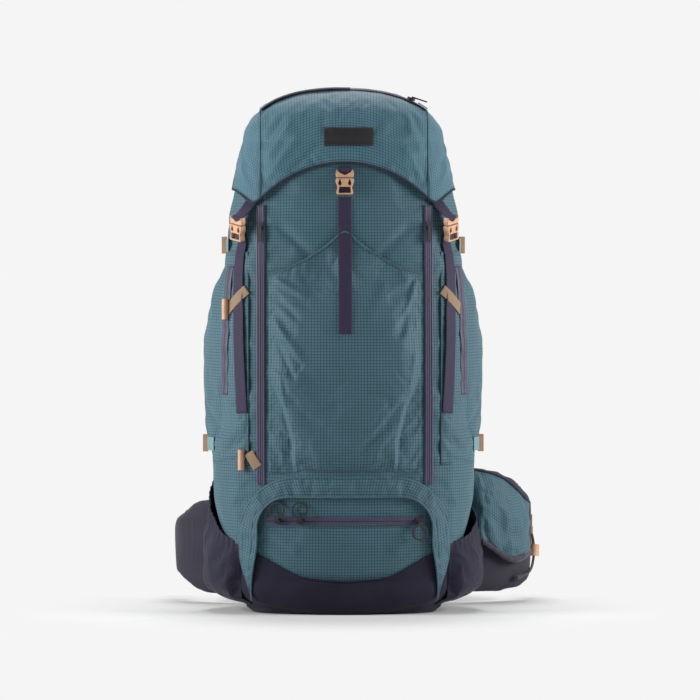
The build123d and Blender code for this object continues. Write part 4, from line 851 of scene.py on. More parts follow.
def plate(name, outlines, low, high, bevel=0.5 * MM):
    """A flat moulding between two heights, cut to outlines: the first outside, the rest holes."""
    curve = bpy.data.curves.new(name, "CURVE")
    curve.dimensions, curve.fill_mode = "2D", "BOTH"
    curve.extrude, curve.bevel_depth, curve.bevel_resolution = (high - low) / 2 - bevel, bevel, 1
    curve.offset = -bevel
    piece = curve_mesh(name, curve, [[(x, y, 0) for x, y in outline] for outline in outlines], True)
    piece.data.transform(Matrix.Translation((0, 0, (low + high) / 2)))
    return piece


def stood(piece, origin, right, up):
    """Takes a moulding made flat to where it stands: its own x along right, y along up."""
    right, up = Vector(right).normalized(), Vector(up).normalized()
    out = right.cross(up)
    turn = Matrix((right, up, out)).transposed().to_4x4()
    piece.data.transform(Matrix.Translation(Vector(origin)) @ turn)
    return piece


def sharp(piece):
    """Keeps the edges of a moulding crisp."""
    choose(piece)
    bpy.ops.object.shade_smooth_by_angle(angle=0.7)
    piece.select_set(False)
    return piece


def mirror(mesh):
    """Takes a mesh to the bag's other side."""
    mesh.transform(Matrix.Scale(-1, 4, (1, 0, 0)))
    mesh.flip_normals()


def flipped(piece, name, body, stands_for=()):
    """The same piece for the other side."""
    twin = piece.copy()
    twin.data = piece.data.copy()
    twin.name = twin.data.name = name
    bpy.context.collection.objects.link(twin)
    mirror(twin.data)
    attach(twin, body)
    if stands_for:
        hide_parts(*stands_for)
    return twin


# ---------------------------------------------------------------- the body's cloth
def seam_run(z):
    """Running length from the front's middle to the seam at the back corner."""
    return corner_run(z, -5 * MM)


def body_height(b):
    return BODY_BOTTOM + (BODY_TOP - BODY_BOTTOM) * b


def front_relief(s, z):
    """Creases of the front above and below the stuff pocket."""
    relief = ripple(s, z, 3, 150 * MM, 0.9 * MM)
    for side in (-1, 1):
        relief += folds(s * side, z, (
            ((112, 590), (40, 520), 8, -2.6), ((115, 120), (60, 96), 8, 2.6),
            ((112, 165), (40, 152), 6, 1.5),
        ))
    return relief + folds(s, z, (((-20, 118), (60, 100), 12, 2.0),))


def boot_top(s):
    """Height of the boot's upper seam, low in the middle and rising to the corners."""
    x = np.abs(s)
    rise = 50 * MM + 3 * MM * smooth(0.0, 0.05, x) + 39 * MM * smooth(0.035, 0.15, x) ** 1.3
    return rise + 8 * MM * smooth(0.15, 0.2, x)


def over_boot(s, z):
    """0 behind the boot's cloth, 1 well above it."""
    top = boot_top(s)
    return smooth(0, 10 * MM, z - top - 2 * MM)


def front_calm(x, z):
    """1 where the front's cloth is free, 0 under its zips and behind the boot."""
    beside = smooth(3 * MM, 12 * MM, np.abs(np.abs(x) - FRONT_ZIP_X))
    clear = smooth(5 * MM, 14 * MM, np.abs(z - BOTTOM_ZIP_Z))
    return beside * clear * over_boot(x, z)


def front_cloth(a, b):
    z = body_height(b)
    edge = run_to_x(FRONT_SEAM, z)
    s = (2 * a - 1) * edge
    tuck = smooth(0, 0.12, np.minimum(a, 1 - a)) * front_calm(s, z)
    place, _ = around(s, z, 0.3 * MM + front_relief(s, z) * tuck - 1.2 * MM * (1 - over_boot(s, z)))
    return place, np.stack([s, z], axis=1)


def flank_bulge(s, z):
    """Fullness of the flanks between the side pockets and the bottle pockets."""
    rise = smooth(75 * MM, 175 * MM, z) * (1 - smooth(245 * MM, 300 * MM, z))
    return 14 * MM * rise * smooth(0.165, 0.235, s) * (1 - smooth(0.36, 0.42, s))


def side_relief(s, z):
    """Slack of the flanks, drawn in by the compression straps."""
    relief = ripple(s, z, 11, 120 * MM, 1.1 * MM) + flank_bulge(s, z)
    for level in COMPRESSION_LEVELS.values():
        relief -= 1.6 * MM * np.exp(-(((z - level) / (12 * MM)) ** 2))
    return relief + folds(s, z, (((160, 640), (240, 560), 9, 2.2), ((190, 520), (260, 640), 10, -1.8)))


def side_cloth(a, b):
    z = body_height(b)
    start, end = run_to_x(FRONT_SEAM, z), seam_run(z)
    s = start + (end - start) * a
    tuck = smooth(0, 0.12, np.minimum(a, 1 - a)) * over_boot(s, z)
    place, _ = around(s, z, 0.3 * MM + side_relief(s, z) * tuck - 1.2 * MM * (1 - over_boot(s, z)))
    return place, np.stack([s, z], axis=1)


def back_cloth(a, b):
    z = body_height(b)
    start, full = seam_run(z), half_girth(z)
    s = start + (2 * full - 2 * start) * a
    over = s > full
    run = np.where(over, 2 * full - s, s)
    place, _ = around(np.where(over, -run, run), z, 0.2 * MM)
    return place, np.stack([s, z], axis=1)


front = settle(cloth("front_cloth", 72, 170, front_cloth), 0.012, proud=2.5 * MM, pressure=0.2,
               calm=lambda at: front_calm(at[:, 0], at[:, 2]))
finished(walled(front, 0), shell_cloth, "pack", ["front_panel"])
side_right = settle(cloth("side_cloth_right", 60, 150, side_cloth), 0.015, proud=3 * MM, pressure=0.3,
                    calm=lambda at: over_boot(at[:, 0], at[:, 2]))
finished(walled(side_right, 0), shell_cloth, "pack", ["side_panel_right"])
flipped(side_right, "side_cloth_left", "pack", ["side_panel_left"])
finished(cloth("back_cloth", 90, 120, back_cloth), navy_cloth, "pack", ["back_panel"])


def seam_line(run_at, low, high, out, count=60):
    """Points up the bag along a running length that changes with height."""
    z = np.linspace(low, high, count)
    return around(run_at(z), z, np.full(count, out))[0]


for side, tag in SIDES:
    line = seam_line(lambda z: side * seam_run(z), BODY_BOTTOM, BODY_TOP, 0.8 * MM)
    cord_like(f"back_seam_piping_{tag}", line, 1.8 * MM, navy_cloth, "pack")

# the mouth's collar, gathered on its cord
COLLAR_TOP, COLLAR_GATHER, COLLAR_FOOT = 699 * MM, 48 * MM, BODY_TOP - MM


def gathered(place, share):
    """Draws the collar in towards the middle of the mouth."""
    draw = share * np.array([COLLAR_GATHER / HALF_WIDTH, COLLAR_GATHER / FRONT_DEPTH, 0])
    return place - (place - np.array([0, -15 * MM, 0])) * draw


def collar_cloth(a, b):
    s = (2 * a - 1) * half_girth(np.full_like(a, COLLAR_FOOT))
    pleat = np.sin(a * 2 * math.pi * 46) * (0.3 + b) + 0.5 * np.sin(a * 2 * math.pi * 23 + 1)
    place, _ = around(s, np.full_like(s, COLLAR_FOOT), -0.5 * MM + pleat * 1.1 * MM * b)
    place[:, 2] = COLLAR_FOOT + (COLLAR_TOP - BODY_TOP - MM) * np.sin(b * math.pi / 2)
    return gathered(place, (b**1.4)[:, None])


collar = walled(cloth("collar_cloth", 460, 14, collar_cloth, (0, 0, 0.6)), 0.8 * MM, 0)
finished(collar, navy_cloth, "pack", ["collar"])
mouth_run = (2 * np.linspace(0, 1, 120, endpoint=False) - 1) * float(half_girth(COLLAR_FOOT))
mouth = gathered(around(mouth_run, COLLAR_FOOT, 0.0)[0], 1.0)
mouth[:, 2] = COLLAR_TOP - 1.5 * MM
cord_like("collar_drawcord", mouth, 1.4 * MM, dark_cord, "pack", closed=True)

# ---------------------------------------------------------------- the boot: a navy bowl, high at its sides
BOOT_LIFT = 17 * MM


def boot_curl(z):
    """How far the boot's cloth curls in towards the floor."""
    return 20 * MM * (1 - np.sqrt(np.clip(1 - (1 - np.clip(z / BODY_BOTTOM, 0, 1)) ** 2.6, 0, 1)))


def boot_cloth(a, b):
    s = (2 * a - 1) * half_girth(np.full_like(a, BODY_BOTTOM))
    z = boot_top(s) * b + 1.2 * MM * (1 - b)
    low = np.maximum(z, BODY_BOTTOM)
    corner = smooth(0.02, 0.20, np.abs(s)) * (1 - smooth(0.33, 0.42, np.abs(s)))
    out = 0.9 * MM - boot_curl(z) * (1 + 0.3 * corner)
    out += ripple(s, z, 21, 90 * MM, 0.8 * MM) * smooth(0, 0.25, b)
    out -= 0.7 * MM * smooth(0.97, 1.0, b)
    place, _ = around(s, low, out, bag_sizes(low))
    place[:, 2] = z + BOOT_LIFT * corner * (1 - smooth(0, 1, z / BODY_BOTTOM))
    return place, np.stack([s, z], axis=1)


boot = cloth("boot_cloth", 260, 30, boot_cloth, (0, 0, 0.05))
shell = bmesh.new()
shell.from_mesh(boot.data)
bmesh.ops.remove_doubles(shell, verts=shell.verts, dist=0.2 * MM)
rim = [e for e in shell.edges if e.is_boundary and max(v.co.z for v in e.verts) < 3 * MM + BOOT_LIFT]
for drawn, lowered in ((0.975, 0.45), (0.94, 0.12), (0.88, 0.0)):
    made = bmesh.ops.extrude_edge_only(shell, edges=rim)["geom"]
    for corner in (v for v in made if isinstance(v, bmesh.types.BMVert)):
        corner.co = Vector((corner.co.x * drawn, corner.co.y * drawn, max(corner.co.z * lowered, 0.3 * MM)))
    rim = [e for e in made if isinstance(e, bmesh.types.BMEdge) and e.is_boundary]
floor_rim = [e for e in shell.edges if e.is_boundary and max(v.co.z for v in e.verts) < MM]
bmesh.ops.edgeloop_fill(shell, edges=floor_rim)
bmesh.ops.recalc_face_normals(shell, faces=shell.faces)
shell.to_mesh(boot.data)
shell.free()
finished(boot, navy_cloth, "pack", ["boot"])
top_run = np.linspace(-1, 1, 240) * float(half_girth(BODY_BOTTOM))
cord_like("boot_seam_piping", around(top_run, boot_top(top_run), 1.4 * MM)[0], 1.1 * MM, navy_cloth, "pack")

# ---------------------------------------------------------------- stuff pocket on the front
POCKET_HALF, POCKET_LOW = 112 * MM, 212 * MM
POCKET_HEM, POCKET_REACH = 2.2 * MM, 18 * MM


def pocket_mouth(x):
    """Height of the stuff pocket's mouth: steep to its peak in the middle, easing to its sides."""
    return np.interp(
        np.abs(x),
        np.array([0, 8, 30, 57, 85, 112]) * MM,
        np.array([567, 563, 544, 526, 512, 504]) * MM,
    )


POCKET_FOLDS = {
    -1: (
        ((110, 503), (50, 468), 5, 4.2), ((112, 450), (56, 370), 6, 4.2), ((108, 480), (62, 432), 6, -2.8),
        ((104, 420), (70, 340), 6, -2.8), ((98, 372), (86, 300), 5, 2.6), ((30, 212), (48, 268), 8, 2.2),
    ),
    1: (
        ((110, 503), (84, 438), 5, 4.2), ((112, 470), (98, 350), 5, 3.6), ((98, 474), (74, 400), 6, -2.6),
        ((106, 400), (90, 318), 6, 3.0), ((64, 500), (30, 430), 9, 1.8), ((34, 212), (54, 276), 8, 2.2),
    ),
}


def pocket_relief(s, z):
    """Folds that run from the pocket's upper corners to its middle and from its foot upwards."""
    relief = folds(s, z, (((-60, 400), (70, 380), 26, 1.6),))
    for side, rows in POCKET_FOLDS.items():
        relief = relief + folds(s * side, z, rows)
    return relief + ripple(s, z, 5, 110 * MM, 0.9 * MM)


def pocket_pleat(x, z):
    """1 on the pocket's full middle, 0 beyond the pleats that narrow its foot."""
    reach = np.interp(z, np.array([213, 260, 308, 345, 400]) * MM, np.array([75, 77, 89, 105, 124]) * MM)
    return smooth(-2 * MM, 6 * MM, reach - np.abs(x))


def pocket_cloth(a, b):
    x = (2 * a - 1) * POCKET_HALF
    top = pocket_mouth(x)
    z = POCKET_LOW + (top - POCKET_LOW) * b
    s = run_to_x(x, z)
    side = smooth(0, 1, np.minimum(a, 1 - a) / 0.14)
    foot = smooth(0, 0.09, b)
    fill = 0.25 + 0.75 * smooth(0, 0.4, 1 - b)
    lift = (side * foot) ** 0.6 * fill * (0.2 + 0.8 * pocket_pleat(x, z))
    lift = POCKET_HEM + (POCKET_REACH - POCKET_HEM) * lift
    relief = pocket_relief(s, z) * smooth(0, 0.08, np.minimum(a, 1 - a)) * smooth(0, 0.03, b)
    place, _ = around(s, z, lift + relief * smooth(0, 0.06, 1 - b))
    return place, np.stack([s, z], axis=1)


pocket = cloth("front_pocket_cloth", 96, 140, pocket_cloth)
settle(pocket, 0.02, proud=3.5 * MM, pressure=0.35, stiff=0.3)
at_mouth = [v.index for v in pocket.data.vertices if abs(v.co.z - float(pocket_mouth(v.co.x))) < 0.8 * MM]
mouth_line = vertex_places(pocket.data)[at_mouth]
mouth_line = mouth_line[np.argsort(mouth_line[:, 0])]
finished(walled(pocket, 1.0 * MM), shell_cloth, "pack", ["front_pocket"])
cord_like("front_pocket_hem", curve_through(mouth_line[::3], 120), 1.5 * MM, shell_cloth, "pack")

# ---------------------------------------------------------------- arched flap over the bottom compartment
FLAP = {"outer": (155 * MM, 206 * MM, 85 * MM), "inner": (127 * MM, 176 * MM, 45 * MM)}
FLAP_LOW, FLAP_FOOT_X, FLAP_STAND = 20 * MM, 138 * MM, 8.0 * MM


def arch_at(size, a):
    """Point at a share of the way along an arch, from its left foot over the top to its right."""
    half, top, corner = size
    straight, bend, across = top - corner - FLAP_LOW, corner * math.pi / 2, 2 * (half - corner)
    stops = np.cumsum([0, straight, bend, across, bend, straight])
    t = a * stops[-1]
    x, z = np.full_like(t, -half), FLAP_LOW + t
    turn = (t - stops[1]) / corner
    on = t > stops[1]
    x = np.where(on, -half + corner - corner * np.cos(turn), x)
    z = np.where(on, top - corner + corner * np.sin(turn), z)
    on = t > stops[2]
    x, z = np.where(on, -half + corner + t - stops[2], x), np.where(on, top, z)
    turn = (t - stops[3]) / corner
    on = t > stops[3]
    x = np.where(on, half - corner + corner * np.sin(turn), x)
    z = np.where(on, top - corner + corner * np.cos(turn), z)
    on = t > stops[4]
    x, z = np.where(on, half, x), np.where(on, top - corner - (t - stops[4]), z)
    draw = smooth(0, 1, (112 * MM - z) / (112 * MM - FLAP_LOW)) ** (1.7 if half > FLAP_FOOT_X else 0.9)
    return x + np.sign(x) * (FLAP_FOOT_X - half) * draw, z, stops[-1]


def on_front(x, z, out):
    """Point on the bag's front at x, which follows the boot's curl near the floor."""
    above = np.maximum(z, BODY_BOTTOM)
    place, _ = around(run_to_x(x, above), above, out - boot_curl(z))
    place[:, 2] = z
    return place


def flap_cloth(a, b):
    xi, zi, _ = arch_at(FLAP["inner"], a)
    xo, zo, length = arch_at(FLAP["outer"], a)
    x, z = xi + (xo - xi) * b, zi + (zo - zi) * b
    swell = np.cos(math.pi / 2 * np.clip(b, 0, 1)) ** 0.7
    room = smooth(0, 1, np.hypot(xo - xi, zo - zi) / (24 * MM))
    out = 1.4 * MM + (FLAP_STAND - 1.4 * MM) * swell * room
    out += swell * ripple(x, z, 31, 70 * MM, 0.8 * MM)
    out -= 1.2 * MM * np.exp(-(((b - 0.22) * 28 * MM / (1.6 * MM)) ** 2))
    return on_front(x, z, out), np.stack([a * length, b * 30 * MM], axis=1)


flap = cloth("bottom_flap_cloth", 220, 20, flap_cloth)
settle(flap, 0.02, proud=2 * MM, pressure=0.4)
finished(walled(flap, 1.0 * MM), shell_cloth, "pack", ["bottom_flap"])
share = np.linspace(0, 1, 200)
for edge, lift, radius in (("outer", 1.2 * MM, 1.2 * MM), ("inner", FLAP_STAND, 1.4 * MM)):
    x, z, _ = arch_at(FLAP[edge], share)
    out = 1.2 * MM + (lift - 1.2 * MM) * smooth(0, 1, np.minimum(share, 1 - share) / 0.12)
    cord_like(f"bottom_flap_{edge}_seam", on_front(x, z, out), radius, shell_cloth, "pack")

# ---------------------------------------------------------------- zipped side pockets
BARREL_X, BARREL_Y, BARREL_RADIUS = 74 * MM, 5 * MM, 130.5 * MM
BARREL_LOW, BARREL_MID, BARREL_HIGH = 228 * MM, 375 * MM, 534 * MM


def stand_off(place, normal, x, y, radius):
    """How far out along its normal each place leaves an upright drum round x and y."""
    dx, dy = place[..., 0] - x, place[..., 1] - y
    dot = dx * normal[..., 0] + dy * normal[..., 1]
    return -dot + np.sqrt(np.maximum(dot**2 - (dx**2 + dy**2 - radius**2), 0))


def barrel_radius(z):
    """Radius of the side pocket's barrel, less towards its top and its foot."""
    rise = np.maximum(z - BARREL_MID, 0) / (BARREL_HIGH - BARREL_MID)
    drop = np.maximum(BARREL_MID - z, 0) / (BARREL_MID - BARREL_LOW)
    return BARREL_RADIUS - 34 * MM * rise**2 - 8 * MM * drop**2


def side_pocket_run(z):
    """Where the side pocket starts and ends, in running length, at height z."""
    return run_to_x(np.full_like(z, 142 * MM), z), corner_run(z, 6 * MM)


def side_pocket_relief(s, z):
    """Creases of the full side pocket, drawn from its corners to its middle."""
    return ripple(s, z, 41, 100 * MM, 1.6 * MM) + folds(s, z, (
        ((300, 520), (220, 430), 10, 2.4), ((340, 500), (250, 380), 9, -2.2),
        ((330, 240), (240, 330), 11, 2.2), ((200, 260), (300, 330), 8, -1.8),
    ))


def side_pocket_cloth(a, b):
    z = BARREL_LOW - 4 * MM + (BARREL_HIGH + 6 * MM - BARREL_LOW) * b
    start, end = side_pocket_run(z)
    s = start + (end - start) * a
    rim = smooth(0, 1, np.minimum(a, 1 - a) / 0.10) * smooth(0, 1, np.minimum(b * 2.4, 1 - b) / 0.09)
    barrel = stand_off(*around(np.abs(s), z, 0.0), BARREL_X, BARREL_Y, barrel_radius(z))
    out = 0.9 * MM + (np.maximum(barrel, 0.6 * MM) - 0.3 * MM) * rim**0.6
    out = np.maximum(out, flank_bulge(s, z) + 1.2 * MM)
    place, _ = around(s, z, out + side_pocket_relief(s, z) * rim)
    return place, np.stack([s, z], axis=1)


pocket_right = cloth("side_pocket_cloth_right", 64, 110, side_pocket_cloth)
settle(pocket_right, 0.02, proud=4 * MM, pressure=0.5)
finished(walled(pocket_right, 0), shell_cloth, "pack", ["side_pocket_right"])
flipped(pocket_right, "side_pocket_cloth_left", "pack", ["side_pocket_left"])
z = np.linspace(BARREL_LOW - 4 * MM, BARREL_HIGH + 2 * MM, 80)
start, end = side_pocket_run(z)
along = np.linspace(0, 1, 60)
foot_run, foot_z = start[0] + (end[0] - start[0]) * along, np.full(60, BARREL_LOW - 4 * MM)
for tag, line in (
    ("front", around(start, z, 1.2 * MM)[0]),
    ("top", around(start[-1] + (end[-1] - start[-1]) * along, BARREL_HIGH + 2 * MM, 1.2 * MM)[0]),
    ("foot", around(foot_run, foot_z, 2.0 * MM + flank_bulge(foot_run, foot_z))[0]),
):
    welt = cord_like(f"side_pocket_{tag}_seam_right", line, 1.1 * MM, shell_cloth, "pack")
    flipped(welt, f"side_pocket_{tag}_seam_left", "pack")

# ---------------------------------------------------------------- stretch bottle pockets
BOTTLE_X, BOTTLE_Y, BOTTLE_RADIUS = 92 * MM, -5 * MM, 113 * MM
BOTTLE_LOW = 13 * MM
BOTTLE_RIMS = {"left": (94, 116, 158, 208, 219), "right": (98, 112, 136, 160, 166)}


def bottle_rim(y, side):
    """Height of a bottle pocket's rim: the left one stands open, the right one has slumped."""
    return np.interp(y, np.array([-112, -62, 5, 78, 110]) * MM, np.array(BOTTLE_RIMS[side]) * MM)


def bottle_cloth(side):
    """Shape of a bottle pocket: its foot follows the boot, its middle stands out round the bottle's room."""

    def shape(a, b):
        foot_z = np.full_like(a, BODY_BOTTOM)
        start, end = run_to_x(np.full_like(a, 152 * MM), foot_z), corner_run(foot_z, 3 * MM)
        s = start + (end - start) * a
        y = around(s, foot_z, 0.0)[0][:, 1]
        z = BOTTLE_LOW + (bottle_rim(y, side) - BOTTLE_LOW) * b
        above = np.maximum(z, BODY_BOTTOM)
        stand = stand_off(*around(s, above, 0.0), BOTTLE_X, BOTTLE_Y, BOTTLE_RADIUS)
        rim = smooth(0, 1, np.minimum(a * 1.3, 1 - a) / 0.12)
        foot = smooth(0, 1, (z - BOTTLE_LOW) / (34 * MM)) ** 0.55
        gathers = 0.8 * MM * np.sin(a * 2 * math.pi * 17) * smooth(0.72, 1, b) * rim
        close = 1 - 0.22 * smooth(0.6, 1, b)
        out = 1.3 * MM + np.maximum(stand, 0) * rim**0.6 * foot * close + gathers
        out += ripple(s, z, 51, 80 * MM, 1.5 * MM) * rim * smooth(0, 0.22, b) - boot_curl(z) * 0.5
        out -= 17 * MM * (1 - smooth(0, 1, (z - BOTTLE_LOW) / (13 * MM))) ** 1.5
        place = around(s, above, out)[0]
        place[:, 2] = z
        return place, np.stack([s, z], axis=1)

    return shape


for side in ("right", "left"):
    bottle = cloth(f"bottle_cloth_{side}", 72, 48, bottle_cloth(side))
    settle(bottle, 0.02, proud=3 * MM, pressure=0.4)
    if side == "right":
        finished(walled(bottle, 1.2 * MM), stretch_cloth, "pack", ["bottle_pocket_right"])
    else:
        walled(bottle, 1.2 * MM).data.materials.append(stretch_cloth)
        flipped(bottle, "bottle_pocket_cloth_left", "pack", ["bottle_pocket_left"])
        bpy.data.objects.remove(bottle)

# ---------------------------------------------------------------- lid
LID_SEAM_X = 124 * MM
DOME_RISE = LID_TOP - DOME_START


def lid_plan():
    """Running length, direction and reach of the lid's rim, point by point."""
    z = np.full(2001, DOME_START)
    full = half_girth(z)
    s = np.linspace(-1, 1, 2001) * full
    place = around(s, z, LID_OUT)[0]
    return s, np.unwrap(np.arctan2(place[:, 1], place[:, 0])), np.hypot(place[:, 0], place[:, 1])


RIM_RUN, RIM_TURN, RIM_REACH = lid_plan()


def rim_reach(turn):
    """Distance of the lid's rim from its middle, in a direction of its plan."""
    low = RIM_TURN[0]
    return np.interp((turn - low) % (2 * math.pi) + low, RIM_TURN, RIM_REACH)


def lid_front_y(x, z):
    """Where the lid's front stands at x and height z."""
    half, front, back, crown, corner, _ = bag_sizes(z)
    bow, middle, corner_x, corner_y, _, _ = plan_arcs(half, front, back, crown, corner, BACK_CORNER)
    inner = middle - np.sqrt((bow + LID_OUT) ** 2 - x**2)
    reach = np.clip((corner + LID_OUT) ** 2 - (np.abs(x) - corner_x) ** 2, 0, None)
    return np.where(np.abs(x) <= corner_x * bow / (bow - corner), inner, corner_y - np.sqrt(reach))


def dome_over(x, angle):
    """Where a ray in the plane of x, at an angle up from the back, leaves the dome: its y and z."""
    low, high = np.zeros_like(x), np.full_like(x, 0.25)
    cos, sin = np.cos(angle), np.sin(angle)
    for _ in range(40):
        t = (low + high) / 2
        y = t * cos
        share = np.hypot(x, y) / rim_reach(np.arctan2(y, x))
        outside = share**DOME_POWER + np.clip(t * sin / DOME_RISE, 0, None) ** DOME_POWER > 1
        low, high = np.where(outside, low, t), np.where(outside, t, high)
    return low * cos, DOME_START + low * sin


def lid_arch(x):
    """Height of the lid's front hem over x."""
    rise = LID_ARCH_TOP - LID_EAR_Z
    radius = (LID_ARCH_HALF**2 + rise**2) / (2 * rise)
    inside = LID_ARCH_TOP - radius + np.sqrt(np.clip(radius**2 - x**2, 0, None))
    return np.where(np.abs(x) < LID_ARCH_HALF, inside, LID_EAR_Z - 3 * MM)


def lid_side_hem(y):
    """Height of the lid's side hem along the flank, from its ear to the back."""
    ys = np.array([-200, -96, -84, -66, -40, -18, 20, 40, 68, 200]) * MM
    return np.interp(y, ys, np.array([590, 591, 594, 606, 622, 629, 630, 640, 687, 687]) * MM)


def lid_folds(x, t):
    """Creases of the lid's middle panel: drawn from its ears up towards the top."""
    return ripple(x, t, 61, 120 * MM, 0.9 * MM) + folds(x, t, (
        ((-118, -62), (-58, 22), 6, 2.6), ((-122, -40), (-74, 40), 5, 2.2), ((-104, -66), (-30, 2), 6, -2.0),
        ((-122, -10), (-86, 52), 6, -2.0), ((-96, -60), (-44, -28), 6, 1.8), ((118, -62), (84, 2), 6, 2.2),
        ((122, -30), (92, 34), 6, 2.0), ((112, -64), (66, -34), 6, -1.8), ((121, 0), (98, 58), 6, -1.6),
    ))


def lid_middle(a, b):
    """Middle of the lid: its front skirt, over the dome, and down its back."""
    x = (2 * a - 1) * LID_SEAM_X
    skirt, back = 0.16, 0.96
    hem = lid_arch(x)
    down = np.clip(b / skirt, 0, 1)
    z_front = hem + (DOME_START - hem) * down
    y_front = lid_front_y(x, z_front)
    angle = math.pi * (1 - np.clip((b - skirt) / (back - skirt), 0, 1))
    y_dome, z_dome = dome_over(x, angle)
    y_back = np.full_like(x, BACK_DEPTH + LID_OUT)
    z_back = DOME_START - (DOME_START - LID_BACK_EDGE) * np.clip((b - back) / (1 - back), 0, 1)
    on_front, on_back = b < skirt, b > back
    y = np.where(on_front, y_front, np.where(on_back, y_back, y_dome))
    z = np.where(on_front, z_front, np.where(on_back, z_back, z_dome))
    place = np.stack([x, y, z], axis=1)
    t = np.where(on_front, z - DOME_START, (math.pi - angle) * 0.1)
    outward = unit(np.stack([x * 0.2, y, (z - 0.62) * 1.6], axis=1))
    sewn = smooth(0, 0.05, np.minimum(a, 1 - a)) * smooth(0, 0.04, b)
    return place + outward * (lid_folds(x, t) * sewn)[:, None]


def lid_gusset(a, b):
    """Side of the lid beyond the middle panel's seam: its skirt, then up the dome to the seam."""
    front_y = float(lid_front_y(np.array(LID_SEAM_X), np.array(DOME_START)))
    ends = [math.atan2(y, LID_SEAM_X) + 2 * math.pi for y in (front_y, BACK_DEPTH + LID_OUT)]
    s0, s1 = np.interp(ends, RIM_TURN, RIM_RUN)
    s = s0 + (s1 - s0) * a
    turn = np.interp(s, RIM_RUN, RIM_TURN)
    reach = rim_reach(turn)
    stop = np.clip(LID_SEAM_X / (reach * np.cos(turn)), 0, 1)
    skirt = 0.62
    rim = around(s, np.full_like(s, DOME_START), LID_OUT)[0]
    hem = np.maximum(np.where(rim[:, 1] < -60 * MM, lid_arch(rim[:, 0]), 0), lid_side_hem(rim[:, 1]))
    z_low = hem + (DOME_START - hem) * np.clip(b / skirt, 0, 1)
    low = around(s, z_low, LID_OUT)[0]
    angle = np.clip((b - skirt) / (1 - skirt), 0, 1) * np.arccos(np.clip(stop, 0, 1) ** (DOME_POWER / 2))
    share = np.cos(angle) ** (2 / DOME_POWER)
    rise = DOME_RISE * np.sin(angle) ** (2 / DOME_POWER)
    top = np.stack([share * reach * np.cos(turn), share * reach * np.sin(turn), DOME_START + rise], axis=1)
    place = np.where((b > skirt)[:, None], top, low)
    outward = unit(np.stack([np.cos(turn), np.sin(turn), np.clip((b - skirt) * 2, 0, 1)], axis=1))
    t = (b - skirt) * 0.2
    relief = ripple(s, t, 71, 80 * MM, 1.3 * MM) + folds(s - s0, t, (
        ((20, -100), (70, 20), 6, 2.6), ((40, -120), (120, -20), 7, 2.4),
        ((10, -50), (90, -40), 6, -2.2), ((100, -60), (200, -10), 8, 1.8),
    ))
    sewn = smooth(0, 0.08, np.minimum(a, 1 - a)) * smooth(0, 0.06, np.minimum(b, 1 - b))
    return place + outward * (relief * sewn)[:, None]


lid = cloth("lid_middle_cloth", 100, 150, lid_middle, (0, 0, 0.6))
settle(lid, 0.012, proud=3 * MM, pressure=0.3)
finished(walled(lid, 1.2 * MM), lid_cloth, "lid", ["lid_shell"])
gusset = cloth("lid_gusset_cloth_right", 90, 50, lid_gusset, (0, 0, 0.6))
settle(gusset, 0.02, proud=3 * MM, pressure=0.3)
finished(walled(gusset, 1.2 * MM), lid_cloth, "lid")
flipped(gusset, "lid_gusset_cloth_left", "lid")

# ---------------------------------------------------------------- padded harness
def node_copy(node, name):
    """A merged copy of a CAD node's mesh."""
    source = bpy.data.objects[node]
    piece = bpy.data.objects.new(name, source.data.copy())
    bpy.context.collection.objects.link(piece)
    piece.data.materials.clear()
    piece.data.name = name
    close_shell(piece.data, merge=0.02 * MM)
    return piece


def padded(name, node, cloth_finish, body, voxel=5 * MM, draw_in=1.2 * MM, swell=4.0, cap=5 * MM):
    """A foam or stuffed piece from its node's shape: remeshed, drawn in, then swollen by its filling."""
    piece = node_copy(node, name)
    mesh_run = piece.modifiers.new("voxels", "REMESH")
    mesh_run.mode, mesh_run.voxel_size = "VOXEL", voxel
    apply_modifiers(piece)
    mesh = piece.data
    count = len(mesh.vertices)
    normals = np.empty(count * 3)
    mesh.vertices.foreach_get("normal", normals)
    put_vertices(mesh, vertex_places(mesh) - normals.reshape(-1, 3) * draw_in)
    rest = vertex_places(mesh)
    moved = simulate(piece, 14, swell, 1.5, mass=0.3, tension_stiffness=25, compression_stiffness=25)
    reach = np.linalg.norm(moved, axis=1)[:, None]
    put_vertices(mesh, rest + moved * np.minimum(1, cap / np.maximum(reach, 1e-9)))
    even = piece.modifiers.new("even", "SMOOTH")
    even.factor, even.iterations = 0.5, 3
    soft = piece.modifiers.new("soft", "SUBSURF")
    soft.levels = soft.render_levels = 1
    apply_modifiers(piece)
    finished(piece, cloth_finish, body, [node])
    return piece


padded("back_pad_foam", "back_pads", pad_mesh, "pack")
for side in ("left", "right"):
    padded(f"shoulder_pad_{side}", f"shoulder_strap_{side}", pad_mesh, f"shoulder_{side}")
    padded(f"hip_pad_{side}", f"hip_wing_{side}", pad_cloth, f"hip_{side}", cap=6 * MM)

# ---------------------------------------------------------------- trim that lies on the cloth
def skins(*names):
    """Search trees of the pieces that trim lies on."""
    trees = []
    for name in names:
        mesh = bpy.data.objects[name].data
        corners = [v.co for v in mesh.vertices]
        trees.append(BVHTree.FromPolygons(corners, [tuple(f.vertices) for f in mesh.polygons]))
    return trees


def lifts_over(line, outs, trees, reach=60 * MM):
    """How far the outermost skin stands out from each point of a line."""
    found = []
    for point, out in zip(line, outs):
        way = Vector(out)
        hits = [tree.ray_cast(Vector(point) + way * reach, -way, 2 * reach)[3] for tree in trees]
        hits = [hit for hit in hits if hit is not None]
        found.append(reach - min(hits) if hits else 0.0)
    return np.array(found)


